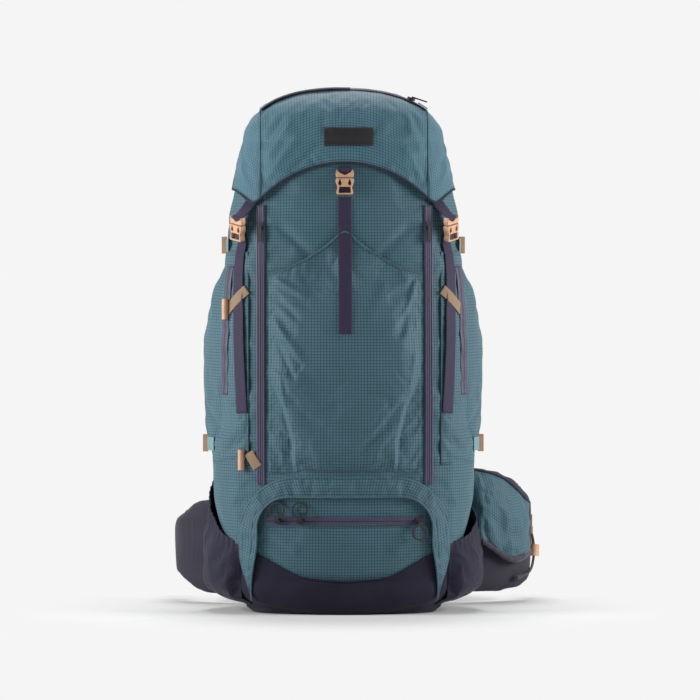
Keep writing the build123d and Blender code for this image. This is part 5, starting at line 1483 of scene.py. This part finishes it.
def lain(line, outs, width, trees, gap=0.3 * MM, limit=None):
    """A line taken out so that trim of some width lies evenly on the skins."""
    right = unit(np.cross(np.gradient(line, axis=0), outs))
    lanes = [line + right * share * width for share in (-0.4, 0, 0.4)]
    lift = np.maximum.reduce([lifts_over(lane, outs, trees) for lane in lanes])
    if limit is not None:
        lift = np.minimum(lift, limit)
    padded_lift = np.pad(lift, 2, mode="edge")
    lift = np.maximum.reduce([padded_lift[i: i + len(lift)] for i in (1, 2, 3)])
    padded_lift = np.pad(lift, 2, mode="edge")
    lift = sum(padded_lift[i: i + len(lift)] for i in range(5)) / 5
    return line + outs * (lift + gap)[:, None]


def corner_at(z, turn, out):
    """Points of the right front corner whose normal is turn degrees from the front."""
    half, front, back, crown, corner, _ = bag_sizes(z)
    _, _, corner_x, corner_y, _, _ = plan_arcs(half, front, back, crown, corner, BACK_CORNER)
    t = np.radians(turn)
    normal = np.stack([np.sin(t), -np.cos(t), np.zeros_like(t)], axis=-1)
    point = np.stack([corner_x, corner_y, z], axis=-1)
    return point + normal * (corner + out)[..., None], normal


bag = skins(
    "front_cloth", "side_cloth_right", "side_cloth_left", "front_pocket_cloth", "front_pocket_hem",
    "side_pocket_cloth_right", "side_pocket_cloth_left",
)
lid_skins = skins("lid_middle_cloth", "lid_gusset_cloth_right", "lid_gusset_cloth_left")

# ---------------------------------------------------------------- zips
FRONT_ZIP_ENDS, SIDE_ZIP_ENDS, BOTTOM_ZIP_HALF = (194, 606), (325, 516), 117
SIDE_ZIP_TURN = math.radians(43)
TAPE, TAPE_THICK = 14 * MM, 0.9 * MM

for side, tag in SIDES:
    z = np.linspace(*FRONT_ZIP_ENDS, 110) * MM
    s = run_to_x(np.full_like(z, side * FRONT_ZIP_X), z)
    line, outs = around(s, z, 0.0)
    flat = lain(line, outs, 13 * MM, bag, 0.9 * MM, 1.2 * MM)
    nodes = ["front_zip_tapes"] if side > 0 else ()
    strip(f"front_zip_{tag}", flat, outs, TAPE, zip_tape, "pack", nodes, TAPE_THICK, 8)
    for edge in (-1, 1):
        shift, _ = around(s + edge * 4.9 * MM, z, 0.0)
        welt = flat + (shift - line) + outs * 0.3 * MM
        row = "inner" if edge * side < 0 else "outer"
        cord_like(f"front_zip_welt_{tag}_{row}", welt, 1.05 * MM, zip_welt, "pack")

s = np.linspace(-BOTTOM_ZIP_HALF, BOTTOM_ZIP_HALF, 90) * MM
line, outs = around(s, np.full_like(s, BOTTOM_ZIP_Z), 0.0)
flat = lain(line, outs, 12 * MM, bag, 0.9 * MM, 1.2 * MM)
strip("bottom_zip", flat, outs, 12 * MM, zip_tape, "pack", ["bottom_zip_tape"], TAPE_THICK, 8)
for edge, row in ((-1, "lower"), (1, "upper")):
    welt = flat + np.array([0, 0, edge * 5 * MM])
    cord_like(f"bottom_zip_welt_{row}", welt, 1.0 * MM, zip_welt, "pack")

for side, tag in SIDES:
    z = np.linspace(*SIDE_ZIP_ENDS, 60) * MM
    radius = BARREL_RADIUS - 34 * MM * (np.maximum(z - BARREL_MID, 0) / (BARREL_HIGH - BARREL_MID)) ** 2
    nodes = ["side_zip_tapes"] if side > 0 else ()
    way = [side * math.cos(SIDE_ZIP_TURN), -math.sin(SIDE_ZIP_TURN), 0.0]
    outs = np.tile(way, (len(z), 1))
    line = np.stack([side * BARREL_X + outs[:, 0] * radius, BARREL_Y + outs[:, 1] * radius, z], axis=1)
    laid = lain(line, outs, 11 * MM, bag, 1.2 * MM)
    strip(f"side_zip_{tag}", laid, outs, TAPE, zip_tape, "pack", nodes, TAPE_THICK, 6)

# ---------------------------------------------------------------- webbing on the bag
MIDDLE_STRAP_ENDS, SIDE_STRAP_ENDS = (417, 631), (299, 563)
COMPRESSION_REACH = (-52 * MM, 66 * MM)
POLE_LOOPS = (("upper", (446, 482), (66, 34)), ("lower", (219, 241), (20, 30)))
LOOP_WEBBING = 15 * MM

z = np.linspace(*MIDDLE_STRAP_ENDS, 56) * MM
line, outs = around(np.zeros_like(z), z, 0.0)
laid = lain(line, outs, WEBBING, bag, 0.5 * MM)
under = z > 616 * MM
laid[under] = (line + outs * 1.0 * MM)[under]
strip("front_strap_middle", laid, outs, WEBBING, strap_weave, "pack", ["front_straps"])
for side, tag in SIDES:
    flip = np.array([side, 1, 1])
    z = np.linspace(*SIDE_STRAP_ENDS, 64) * MM
    line, outs = corner_at(z, 38 + 12 * (z - z[0]) / (z[-1] - z[0]), 0.0)
    line, outs = line * flip, outs * flip
    laid = lain(line, outs, WEBBING, bag, 0.5 * MM, 3 * MM)
    strip(f"front_strap_{tag}", laid, outs, WEBBING, strap_weave, "pack")
    for part, level in COMPRESSION_LEVELS.items():
        z = np.full(400, level)
        s = np.linspace(0.15, 0.42, 400)
        place, _ = around(s, z, 0.0)
        ends = np.interp(COMPRESSION_REACH, place[:, 1], s)
        s = np.linspace(*ends, 44) * side
        line, outs = around(s, np.full_like(s, level), 0.0)
        laid = lain(line, outs, WEBBING, bag, 0.5 * MM)
        strip(f"compression_strap_{part}_{tag}", laid, outs, WEBBING, pale_weave, "pack",
              ["compression_straps"] if side > 0 and part == "upper" else ())
    for part, ends, turns in POLE_LOOPS:
        if (part, tag) == ("lower", "right"):
            continue
        z = np.linspace(*ends, 20) * MM
        line, outs = corner_at(z, np.linspace(*turns, 20), 0.0)
        line, outs = line * flip, outs * flip
        laid = lain(line, outs, LOOP_WEBBING, bag, 2.2 * MM, 2.4 * MM)
        strip(f"pole_loop_{part}_{tag}", laid, outs, LOOP_WEBBING, tan_weave, "pack",
              ["pole_loops"] if side > 0 and part == "upper" else ())

# ---------------------------------------------------------------- side-release buckles of the lid
BUCKLE_THICK = 10.5 * MM


def teardrop(x, top, foot, half, count=16):
    """Outline of one of the socket's two openings, round below and pointed above."""
    out = []
    for i in range(count):
        t = 2 * math.pi * (i + 0.5) / count
        wide = half * math.sin(t) * abs(math.sin(t / 2)) ** 1.3
        out.append((x + wide, (top + foot) / 2 + (top - foot) / 2 * math.cos(t)))
    return out


def scaled(points):
    """Points given in millimetres, in metres."""
    return [tuple(c * MM for c in point) for point in points]


SOCKET_FORM = scaled(rounded((
    (-13.0, 0.0, 1.5), (13.0, 0.0, 1.5), (13.5, -5.0, 3.0), (10.6, -14.0, 5.0), (12.6, -20.5, 3.0),
    (11.6, -24.0, 2.0), (-11.6, -24.0, 2.0), (-12.6, -20.5, 3.0), (-10.6, -14.0, 5.0), (-13.5, -5.0, 3.0),
)))
SOCKET_WINDOW = scaled(rounded((
    (-8.4, -12.8, 1.6), (8.4, -12.8, 1.6), (9.2, -21.6, 1.6), (-9.2, -21.6, 1.6),
)))
# outline of the black plate that paints the shade inside the socket's teardrop openings
SHADE_PLATE_FORM = scaled(rounded(((-10.8, -12.4, 2), (10.8, -12.4, 2), (11.4, -0.8, 1), (-11.4, -0.8, 1))))
TURN_FORM = scaled(((-8.9, -21.9), (8.9, -21.9), (8.4, -12.7), (-8.4, -12.7)))
TONGUE_FORM = scaled(rounded((
    (-12.6, 1.2, 0.8), (12.6, 1.2, 0.8), (13.5, 6.0, 2.5), (12.4, 13.2, 0.5), (8.6, 8.6, 2.0),
    (0.0, 4.6, 3.0), (-8.6, 8.6, 2.0), (-12.4, 13.2, 0.5), (-13.5, 6.0, 2.5),
)))


def hang(point, turn, lean):
    """Origin, right and up of a buckle that faces turn degrees from the front and leans forward."""
    up = Vector((0, -math.sin(lean), math.cos(lean)))
    out = Vector((math.sin(turn), -math.cos(turn), 0))
    out = (out - up * out.dot(up)).normalized()
    return Vector(point), up.cross(out), up


front_hang = hang((0, -119.43 * MM, 646 * MM), 0, 0)
low_point = corner_at(np.array(554 * MM), np.array(50.0), np.array(2.4 * MM))[0]
LEAN = math.radians(13.5)
side_hang = hang((low_point[0], low_point[1] - 24 * MM * math.sin(LEAN), 578 * MM), math.radians(50), LEAN)


def buckle_pieces(tag, place, mirrored=False):
    """Both halves of one buckle, a black plate of painted shade under the socket's openings, and the webbing
    turned round the socket's bar.
    """
    tears = [scaled(teardrop(x, -1.2, -10.4, 3.4)) for x in (-7.2, 7.2)]
    shell = plate(f"socket_{tag}", [SOCKET_FORM, SOCKET_WINDOW, *tears], 0.6 * MM, BUCKLE_THICK, 1.0 * MM)
    # a black plate under the teardrop openings: painted shade where the tan prongs inside would lie in
    # shadow
    shade_plate = plate(f"socket_shade_plate_{tag}", [SHADE_PLATE_FORM], 2.4 * MM, 6.2 * MM, 0.3 * MM)
    turn = plate(f"socket_webbing_{tag}", [TURN_FORM], 2.6 * MM, 6.0 * MM, 0.3 * MM)
    body = plate(f"tongue_{tag}", [TONGUE_FORM], 1.2 * MM, BUCKLE_THICK - 0.8 * MM, 0.9 * MM)
    made = [shell, shade_plate, turn, body]
    for piece in made:
        stood(piece, *place)
        if mirrored:
            mirror(piece.data)
    return made


# the black plates under the sockets' openings are painted shade, in the black plastic finish
BUCKLE_GROUPS = (
    ("lid_buckle_sockets", tan_plastic, "pack", ["lid_sockets"]),
    ("lid_buckle_painted_shade", black_plastic_and_shade, "pack", ()),
    ("lid_buckle_webbing", strap_by_place, "pack", ()),
    ("lid_buckle_tongues", tan_plastic, "lid", ["lid_tongues"]),
)
buckles = [
    buckle_pieces(tag, place, tag == "left")
    for tag, place in (("middle", front_hang), ("right", side_hang), ("left", side_hang))
]
for (name, finish, body, nodes), pieces in zip(BUCKLE_GROUPS, zip(*buckles)):
    sharp(finished(joined(name, pieces), finish, body, nodes))

# webbing from the lid's buckles up behind its hem and under its ears
behind = lid_front_y(np.zeros(1), np.full(1, 680 * MM))[0] / MM + 3.4
line = curve_through(np.array((
    (0, -124.7, 650.6), (0, -124.5, 655.0), (0, behind - 1.2, 664.0), (0, behind, 671.0), (0, behind, 680.0),
)) * MM, 26)
strip("lid_strap_middle", line, np.array([0.0, -1.0, 0.0]), WEBBING, strap_weave, "lid", ["lid_webbing"])
origin, right, up = (np.array(v) for v in side_hang)
out = np.cross(right, up)
over = Vector(origin + up * 50 * MM + out * 60 * MM)
hits = [tree.ray_cast(over, Vector(-out), 120 * MM) for tree in lid_skins]
place, facing, _, _ = min((hit for hit in hits if hit[0] is not None), key=lambda hit: hit[3])
start = [origin + up * a * MM + out * 5.2 * MM for a in (5, 10)]
ear = np.array(place - facing * 3.6 * MM)
dips = ((0.25, 4.4), (0.5, 6.2), (0.75, 4.4), (1.0, 0.0))
rest = [start[1] + (ear - start[1]) * t - out * dip * MM for t, dip in dips]
line = curve_through(np.array(start + rest), 30)
twist = smooth(0.2, 0.6, np.linspace(0, 1, 30))[:, None]
outs = unit(out * (1 - twist) + np.array(facing) * twist)
for side, tag in SIDES:
    flip = np.array([side, 1, 1])
    strip(f"lid_strap_{tag}", line * flip, outs * flip, WEBBING, strap_weave, "lid")

# ---------------------------------------------------------------- trim of the lid
share, none, whole = np.linspace(0, 1, 70), np.zeros(70), np.ones(70)
hem_right = lid_gusset(share, none)
hem_middle = lid_middle(share, none)
hem = np.concatenate([(hem_right * FLIP)[::-1][:-1], hem_middle[1:-1], hem_right[1:]])
for _ in range(3):
    hem[1:-1] = (hem[:-2] + hem[1:-1] * 2 + hem[2:]) / 4
cord_like("lid_hem", hem, 2.0 * MM, hem_cloth, "lid")
cord_like("lid_back_hem", lid_middle(share, whole), 1.6 * MM, hem_cloth, "lid")
seam = lid_middle(whole, share) + np.array([0.5 * MM, 0, 0.3 * MM])
cord_like("lid_seam_right", seam, 1.1 * MM, seam_cloth, "lid")
cord_like("lid_seam_left", seam * FLIP, 1.1 * MM, seam_cloth, "lid")

PATCH_X, PATCH_Z, PATCH_WIDTH, PATCH_HEIGHT = 6 * MM, 707 * MM, 76 * MM, 31 * MM


def patch_shape(a, b):
    """A plain rectangle laid on the lid's front."""
    x, z = PATCH_X + PATCH_WIDTH * (a - 0.5), PATCH_Z + PATCH_HEIGHT * (b - 0.5)
    rim = lid_front_y(x, np.minimum(z, DOME_START))
    start = np.stack([x, rim, z], axis=1)
    outs = np.tile([0.0, -0.97, 0.24], (len(x), 1))
    return start + outs * (lifts_over(start, outs, lid_skins) + 0.5 * MM)[:, None]


badge = cloth("lid_patch", 37, 15, patch_shape, (0, 0, 0.66))
even = badge.modifiers.new("even", "SMOOTH")
even.factor, even.iterations = 0.5, 8
apply_modifiers(badge)
badge.data.transform(Matrix.Translation((0, -0.5 * MM, 0.1 * MM)))
thick = badge.modifiers.new("wall", "SOLIDIFY")
thick.thickness, thick.offset = 1.2 * MM, 1
bevel = badge.modifiers.new("edge", "BEVEL")
bevel.width, bevel.segments = 0.4 * MM, 2
apply_modifiers(badge)
sharp(finished(badge, patch_face, "lid", ["lid_badge"]))

# lid zip: a storm flap over its left half, teeth in the open on its right
x = np.linspace(-124, 124, 90) * MM
_, top = dome_over(x, np.full_like(x, math.pi / 2))
outs = unit(np.stack([x * 4.2, np.full_like(x, -0.16), np.ones_like(x)], axis=1))
line = np.stack([x, np.full_like(x, -35 * MM), top], axis=1)
laid = lain(line, outs, 12 * MM, lid_skins, 1.0 * MM, 4 * MM)
strip("lid_zip", laid, outs, 12 * MM, zip_tape, "lid", ["lid_zip_tape"], 0.9 * MM, 8)

# small trim of the lid: the storm flap, the teeth in the open and a tab at either end of the zip
half = len(x) // 2
storm_line = laid[: half + 4] + outs[: half + 4] * 1.6 * MM
storm_line[:, 1] -= 2 * MM
strip("lid_storm_flap", storm_line, outs[: half + 4], 15 * MM, hem_cloth, "lid", (), 1.0 * MM, 6)
teeth_line = laid[half - 2:] + outs[half - 2:] * 0.7 * MM
strip("lid_zip_teeth", teeth_line, outs[half - 2:], 5 * MM, open_teeth, "lid", (), 0.8 * MM, 4)
for name, ends, wide in (("lid_corner_tab", (0, 5), 13 * MM), ("lid_zip_end_tab", (-6, None), 11 * MM)):
    part = slice(*ends)
    strip(name, laid[part] + outs[part] * 2.9 * MM, outs[part], wide, pale_weave, "lid", (), 1.0 * MM, 4)

# ---------------------------------------------------------------- hip belt
WING_LINE = np.array((
    (88.9, 140.0), (106.8, 139.9), (124.8, 139.8), (142.7, 140.1), (160.6, 141.5), (178.3, 144.7),
    (195.5, 149.8), (212.0, 156.7), (227.9, 165.1), (243.1, 174.6), (257.3, 185.6), (270.0, 198.2),
    (279.2, 213.5), (282.0, 231.2), (281.8, 249.1), (281.2, 267.1), (281.0, 285.0),
)) * MM
POCKET_TOP_LINE = np.array((
    (160, 205), (194, 205), (236, 195), (262, 180), (279, 158), (297, 140), (312, 140),
)) * MM
POCKET_LOW_LINE = np.array(((160, 133), (172, 124), (264, 57), (297, 76), (312, 76))) * MM
POCKET_START, POCKET_END = 0.335, 0.825
HIP_POCKET_FOLDS = (
    ((0.3, 0.0), (0.12, 0.62), 2.6), ((0.5, 0.0), (0.42, 0.7), 2.2), ((0.72, 0.0), (0.8, 0.6), -2.4),
)
HIP_MIDDLE = (0.2, 0.25, 0.13)


def wing_at(t, off):
    """Points beside the wing's middle line, off out of its outer side, and the way out."""
    fine = curve_through(WING_LINE, 400)
    run = np.linspace(0, 1, 400)
    point = np.stack([np.interp(t, run, fine[:, i]) for i in range(2)], axis=1)
    ahead = np.gradient(fine, axis=0)
    way = unit(np.stack([np.interp(t, run, ahead[:, i]) for i in range(2)], axis=1))
    out = np.stack([way[:, 1], -way[:, 0]], axis=1)
    return point + out * off[:, None], out


def hip_pocket_place(a, b, more=0.0):
    """Hip pocket: sewn along its top and ends, standing open along its slanting lower edge."""
    t = POCKET_START + (POCKET_END - POCKET_START) * a
    rise = smooth(0, 0.16, a) * (0.12 * smooth(0, 0.06, 1 - a) + 0.88 * smooth(0.10, 0.50, 1 - a))
    crown = smooth(0, 0.42, 1 - b) ** 0.7
    off = 8.2 * MM + 15.0 * MM * rise * crown + more
    off = off + ripple(a * 0.14, b * 0.1, 91, 60 * MM, 1.6 * MM) * rise * crown
    for start, end, high in HIP_POCKET_FOLDS:
        off = off + fold(a, b, start, end, 0.05, high * MM) * rise
    flat, out = wing_at(t, off)
    low, top = (
        sum(np.interp(flat[:, 0] + step * MM, line[:, 0], line[:, 1]) for step in range(-16, 17, 4)) / 9
        for line in (POCKET_LOW_LINE, POCKET_TOP_LINE)
    )
    z = low + (top - low) * b
    return np.stack([flat[:, 0], flat[:, 1], z], axis=1), np.stack([out[:, 0], out[:, 1], 0 * z], axis=1)


hip = cloth("hip_pocket_cloth", 70, 44, lambda a, b: hip_pocket_place(a, b)[0], HIP_MIDDLE)
settle(hip, 0.02, proud=2.5 * MM, pressure=0.3)
finished(walled(hip, 1.2 * MM), shell_cloth, "hip_right", ["hip_pocket"])
share = np.linspace(0, 1, 60)
top_edge = hip_pocket_place(share, np.ones(60), 0.8 * MM)[0]
end_edge = hip_pocket_place(np.ones(60), share, 0.8 * MM)[0]
cord_like("hip_pocket_top_seam", top_edge, 1.5 * MM, navy_cloth, "hip_right")
cord_like("hip_pocket_end_seam", end_edge, 1.4 * MM, navy_cloth, "hip_right")


def hip_binding(a, b):
    """Gathered elastic that binds the pocket's open edge: a roll, pleated across its run."""
    edge, out = hip_pocket_place(a, np.zeros_like(a))
    turn = b * 2 * math.pi
    pleat = 1 + 0.07 * np.sin(a * 2 * math.pi * 34) + 0.05 * np.sin(a * 2 * math.pi * 13 + 2)
    wide, deep = 5.0 * MM * pleat, 2.4 * MM * pleat
    rise, reach = np.cos(turn) * wide + 2.0 * MM, np.sin(turn) * deep - 0.4 * MM
    return edge + np.array([0.0, 0.0, 1.0]) * rise[:, None] + out * reach[:, None]


binding = cloth("hip_pocket_elastic", 220, 14, hip_binding, HIP_MIDDLE)
close_shell(binding.data, merge=0.02 * MM, fill=True)
finished(binding, elastic, "hip_right")

# shock cord that hangs from the pull tab, through its lock, to below the pocket
CORD_POINTS = (
    (294.5, 246.0, 99.5), (298.5, 247.0, 84.0), (297.5, 245.0, 60.0), (293.0, 226.0, 46.0),
    (284.5, 196.0, 39.0), (267.0, 172.0, 36.0),
)
route = bpy.data.curves.new("shock_cord", "CURVE")
route.dimensions = "3D"
route.bevel_depth, route.bevel_resolution, route.use_fill_caps, route.resolution_u = 2 * MM, 4, True, 16
spline = route.splines.new("NURBS")
spline.points.add(len(CORD_POINTS) - 1)
for point, place in zip(spline.points, CORD_POINTS):
    point.co = (*(c * MM for c in place), 1)
spline.order_u, spline.use_endpoint_u = 3, True
cord = bpy.data.objects.new("shock_cord", route)
bpy.context.collection.objects.link(cord)
route.materials.append(cord_braid)
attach(cord, "hip_right")
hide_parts("hip_cord")
knot = curve_through(np.array(((267.2, 172.2, 36.0), (271.5, 178.4, 36.9), (276.0, 184.2, 37.9))) * MM, 24)
cord_like("shock_cord_knot", knot, 3.7 * MM, cord_braid, "hip_right")

# ---------------------------------------------------------------- finishes of the hardware that stays
HARDWARE = {
    tan_plastic: ("ladder_locks", "rear_ladder_locks", "pole_toggles", "hip_ladder_lock", "hip_cord_lock"),
    black_plastic_and_shade: (
        "bottom_zip_slider_left", "bottom_zip_slider_inner", "bottom_zip_slider_right",
        "bottom_zip_ring_left", "bottom_zip_ring_inner", "bottom_zip_ring_right", "front_zip_slider_left",
        "front_zip_slider_right", "lid_zip_slider", "hip_buckle_left", "hip_buckle_right",
    ),
    strap_by_place: (
        "haul_loop", "lid_rear_straps", "shoulder_webbing_left", "shoulder_webbing_right",
        "sternum_half_left", "sternum_half_right", "hip_webbing_left", "hip_webbing_right",
    ),
    tan_by_place: ("hip_pull_tab",),
    frame_sheet_finish: ("frame_sheet",),
    stay_metal: ("frame_stays",),
    floor_cloth: ("lid_floor",),
}
for finish, nodes in HARDWARE.items():
    for node in nodes:
        mesh = bpy.data.objects[node].data
        mesh.materials.clear()
        mesh.materials.append(finish)

# ---------------------------------------------------------------- stage
def stage():
    """Pale floor and backdrop, soft lights and the camera."""
    tone, glow, dark = (0.635, 0.64, 0.64), (0.913, 0.913, 0.913), (0.0, 0.0, 0.0)
    bpy.ops.mesh.primitive_plane_add(size=60, location=(0, 0, 0))
    floor = bpy.context.object
    floor.name = "floor"
    f = Finish("pale_floor", tone, roughness=0.95, specular=0.0)
    (fx, fy, _), _ = f.place()
    far = (fx * fx + fy * fy).math("SQRT").ramp(0.28, 0.52)
    f.set("Base Color", f.mix(far, tone, dark))
    f.set("Emission Color", f.mix(far, dark, glow))
    f.set("Emission Strength", 1.0)
    floor.data.materials.append(f.material)
    world = bpy.data.worlds.new("pale_room")
    bpy.context.scene.world = world
    world.use_nodes = True
    sky = world.node_tree
    back = sky.nodes["Background"]
    back.inputs["Color"].default_value = (0.97, 0.98, 1.0, 1)
    back.inputs["Strength"].default_value = 0.15
    seen = sky.nodes.new("ShaderNodeBackground")
    seen.inputs["Color"].default_value = (*glow, 1)
    path, mix = sky.nodes.new("ShaderNodeLightPath"), sky.nodes.new("ShaderNodeMixShader")
    sky.links.new(path.outputs["Is Camera Ray"], mix.inputs[0])
    sky.links.new(back.outputs[0], mix.inputs[1])
    sky.links.new(seen.outputs[0], mix.inputs[2])
    sky.links.new(mix.outputs[0], sky.nodes["World Output"].inputs["Surface"])
    for name, spot, size, power, tint in (
        ("left_softbox", (-2.3, -0.60, 0.95), 1.3, 84, (1, 0.99, 0.98)),
        ("right_softbox", (2.3, -0.55, 0.95), 1.3, 76, (1, 0.99, 0.98)),
        ("top_softbox", (0.0, 1.0, 2.7), 1.6, 60, (1, 1, 1)),
    ):
        lamp = bpy.data.lights.new(name, "AREA")
        lamp.energy, lamp.size, lamp.color = power, size, tint
        lamp_object = bpy.data.objects.new(name, lamp)
        bpy.context.collection.objects.link(lamp_object)
        lamp_object.location = spot
        aim = Vector((0, 0, 0.4)) - Vector(spot)
        lamp_object.rotation_euler = aim.to_track_quat("-Z", "Y").to_euler()
    camera_data = bpy.data.cameras.new("camera")
    camera_data.lens, camera_data.sensor_width, camera_data.clip_end = 313, 36, 100
    camera = bpy.data.objects.new("camera", camera_data)
    bpy.context.collection.objects.link(camera)
    azimuth, elevation, distance = math.radians(-1.1), math.radians(1.6), 9.0
    target = Vector((0.008, -0.11, 0.392))
    level = math.cos(elevation)
    back_way = Vector((math.sin(azimuth) * level, -math.cos(azimuth) * level, math.sin(elevation)))
    camera.location = target + back_way * distance
    camera.rotation_euler = (-back_way).to_track_quat("-Z", "Y").to_euler()
    bpy.context.scene.camera = camera
    bpy.context.scene.view_settings.view_transform = "Standard"


stage()
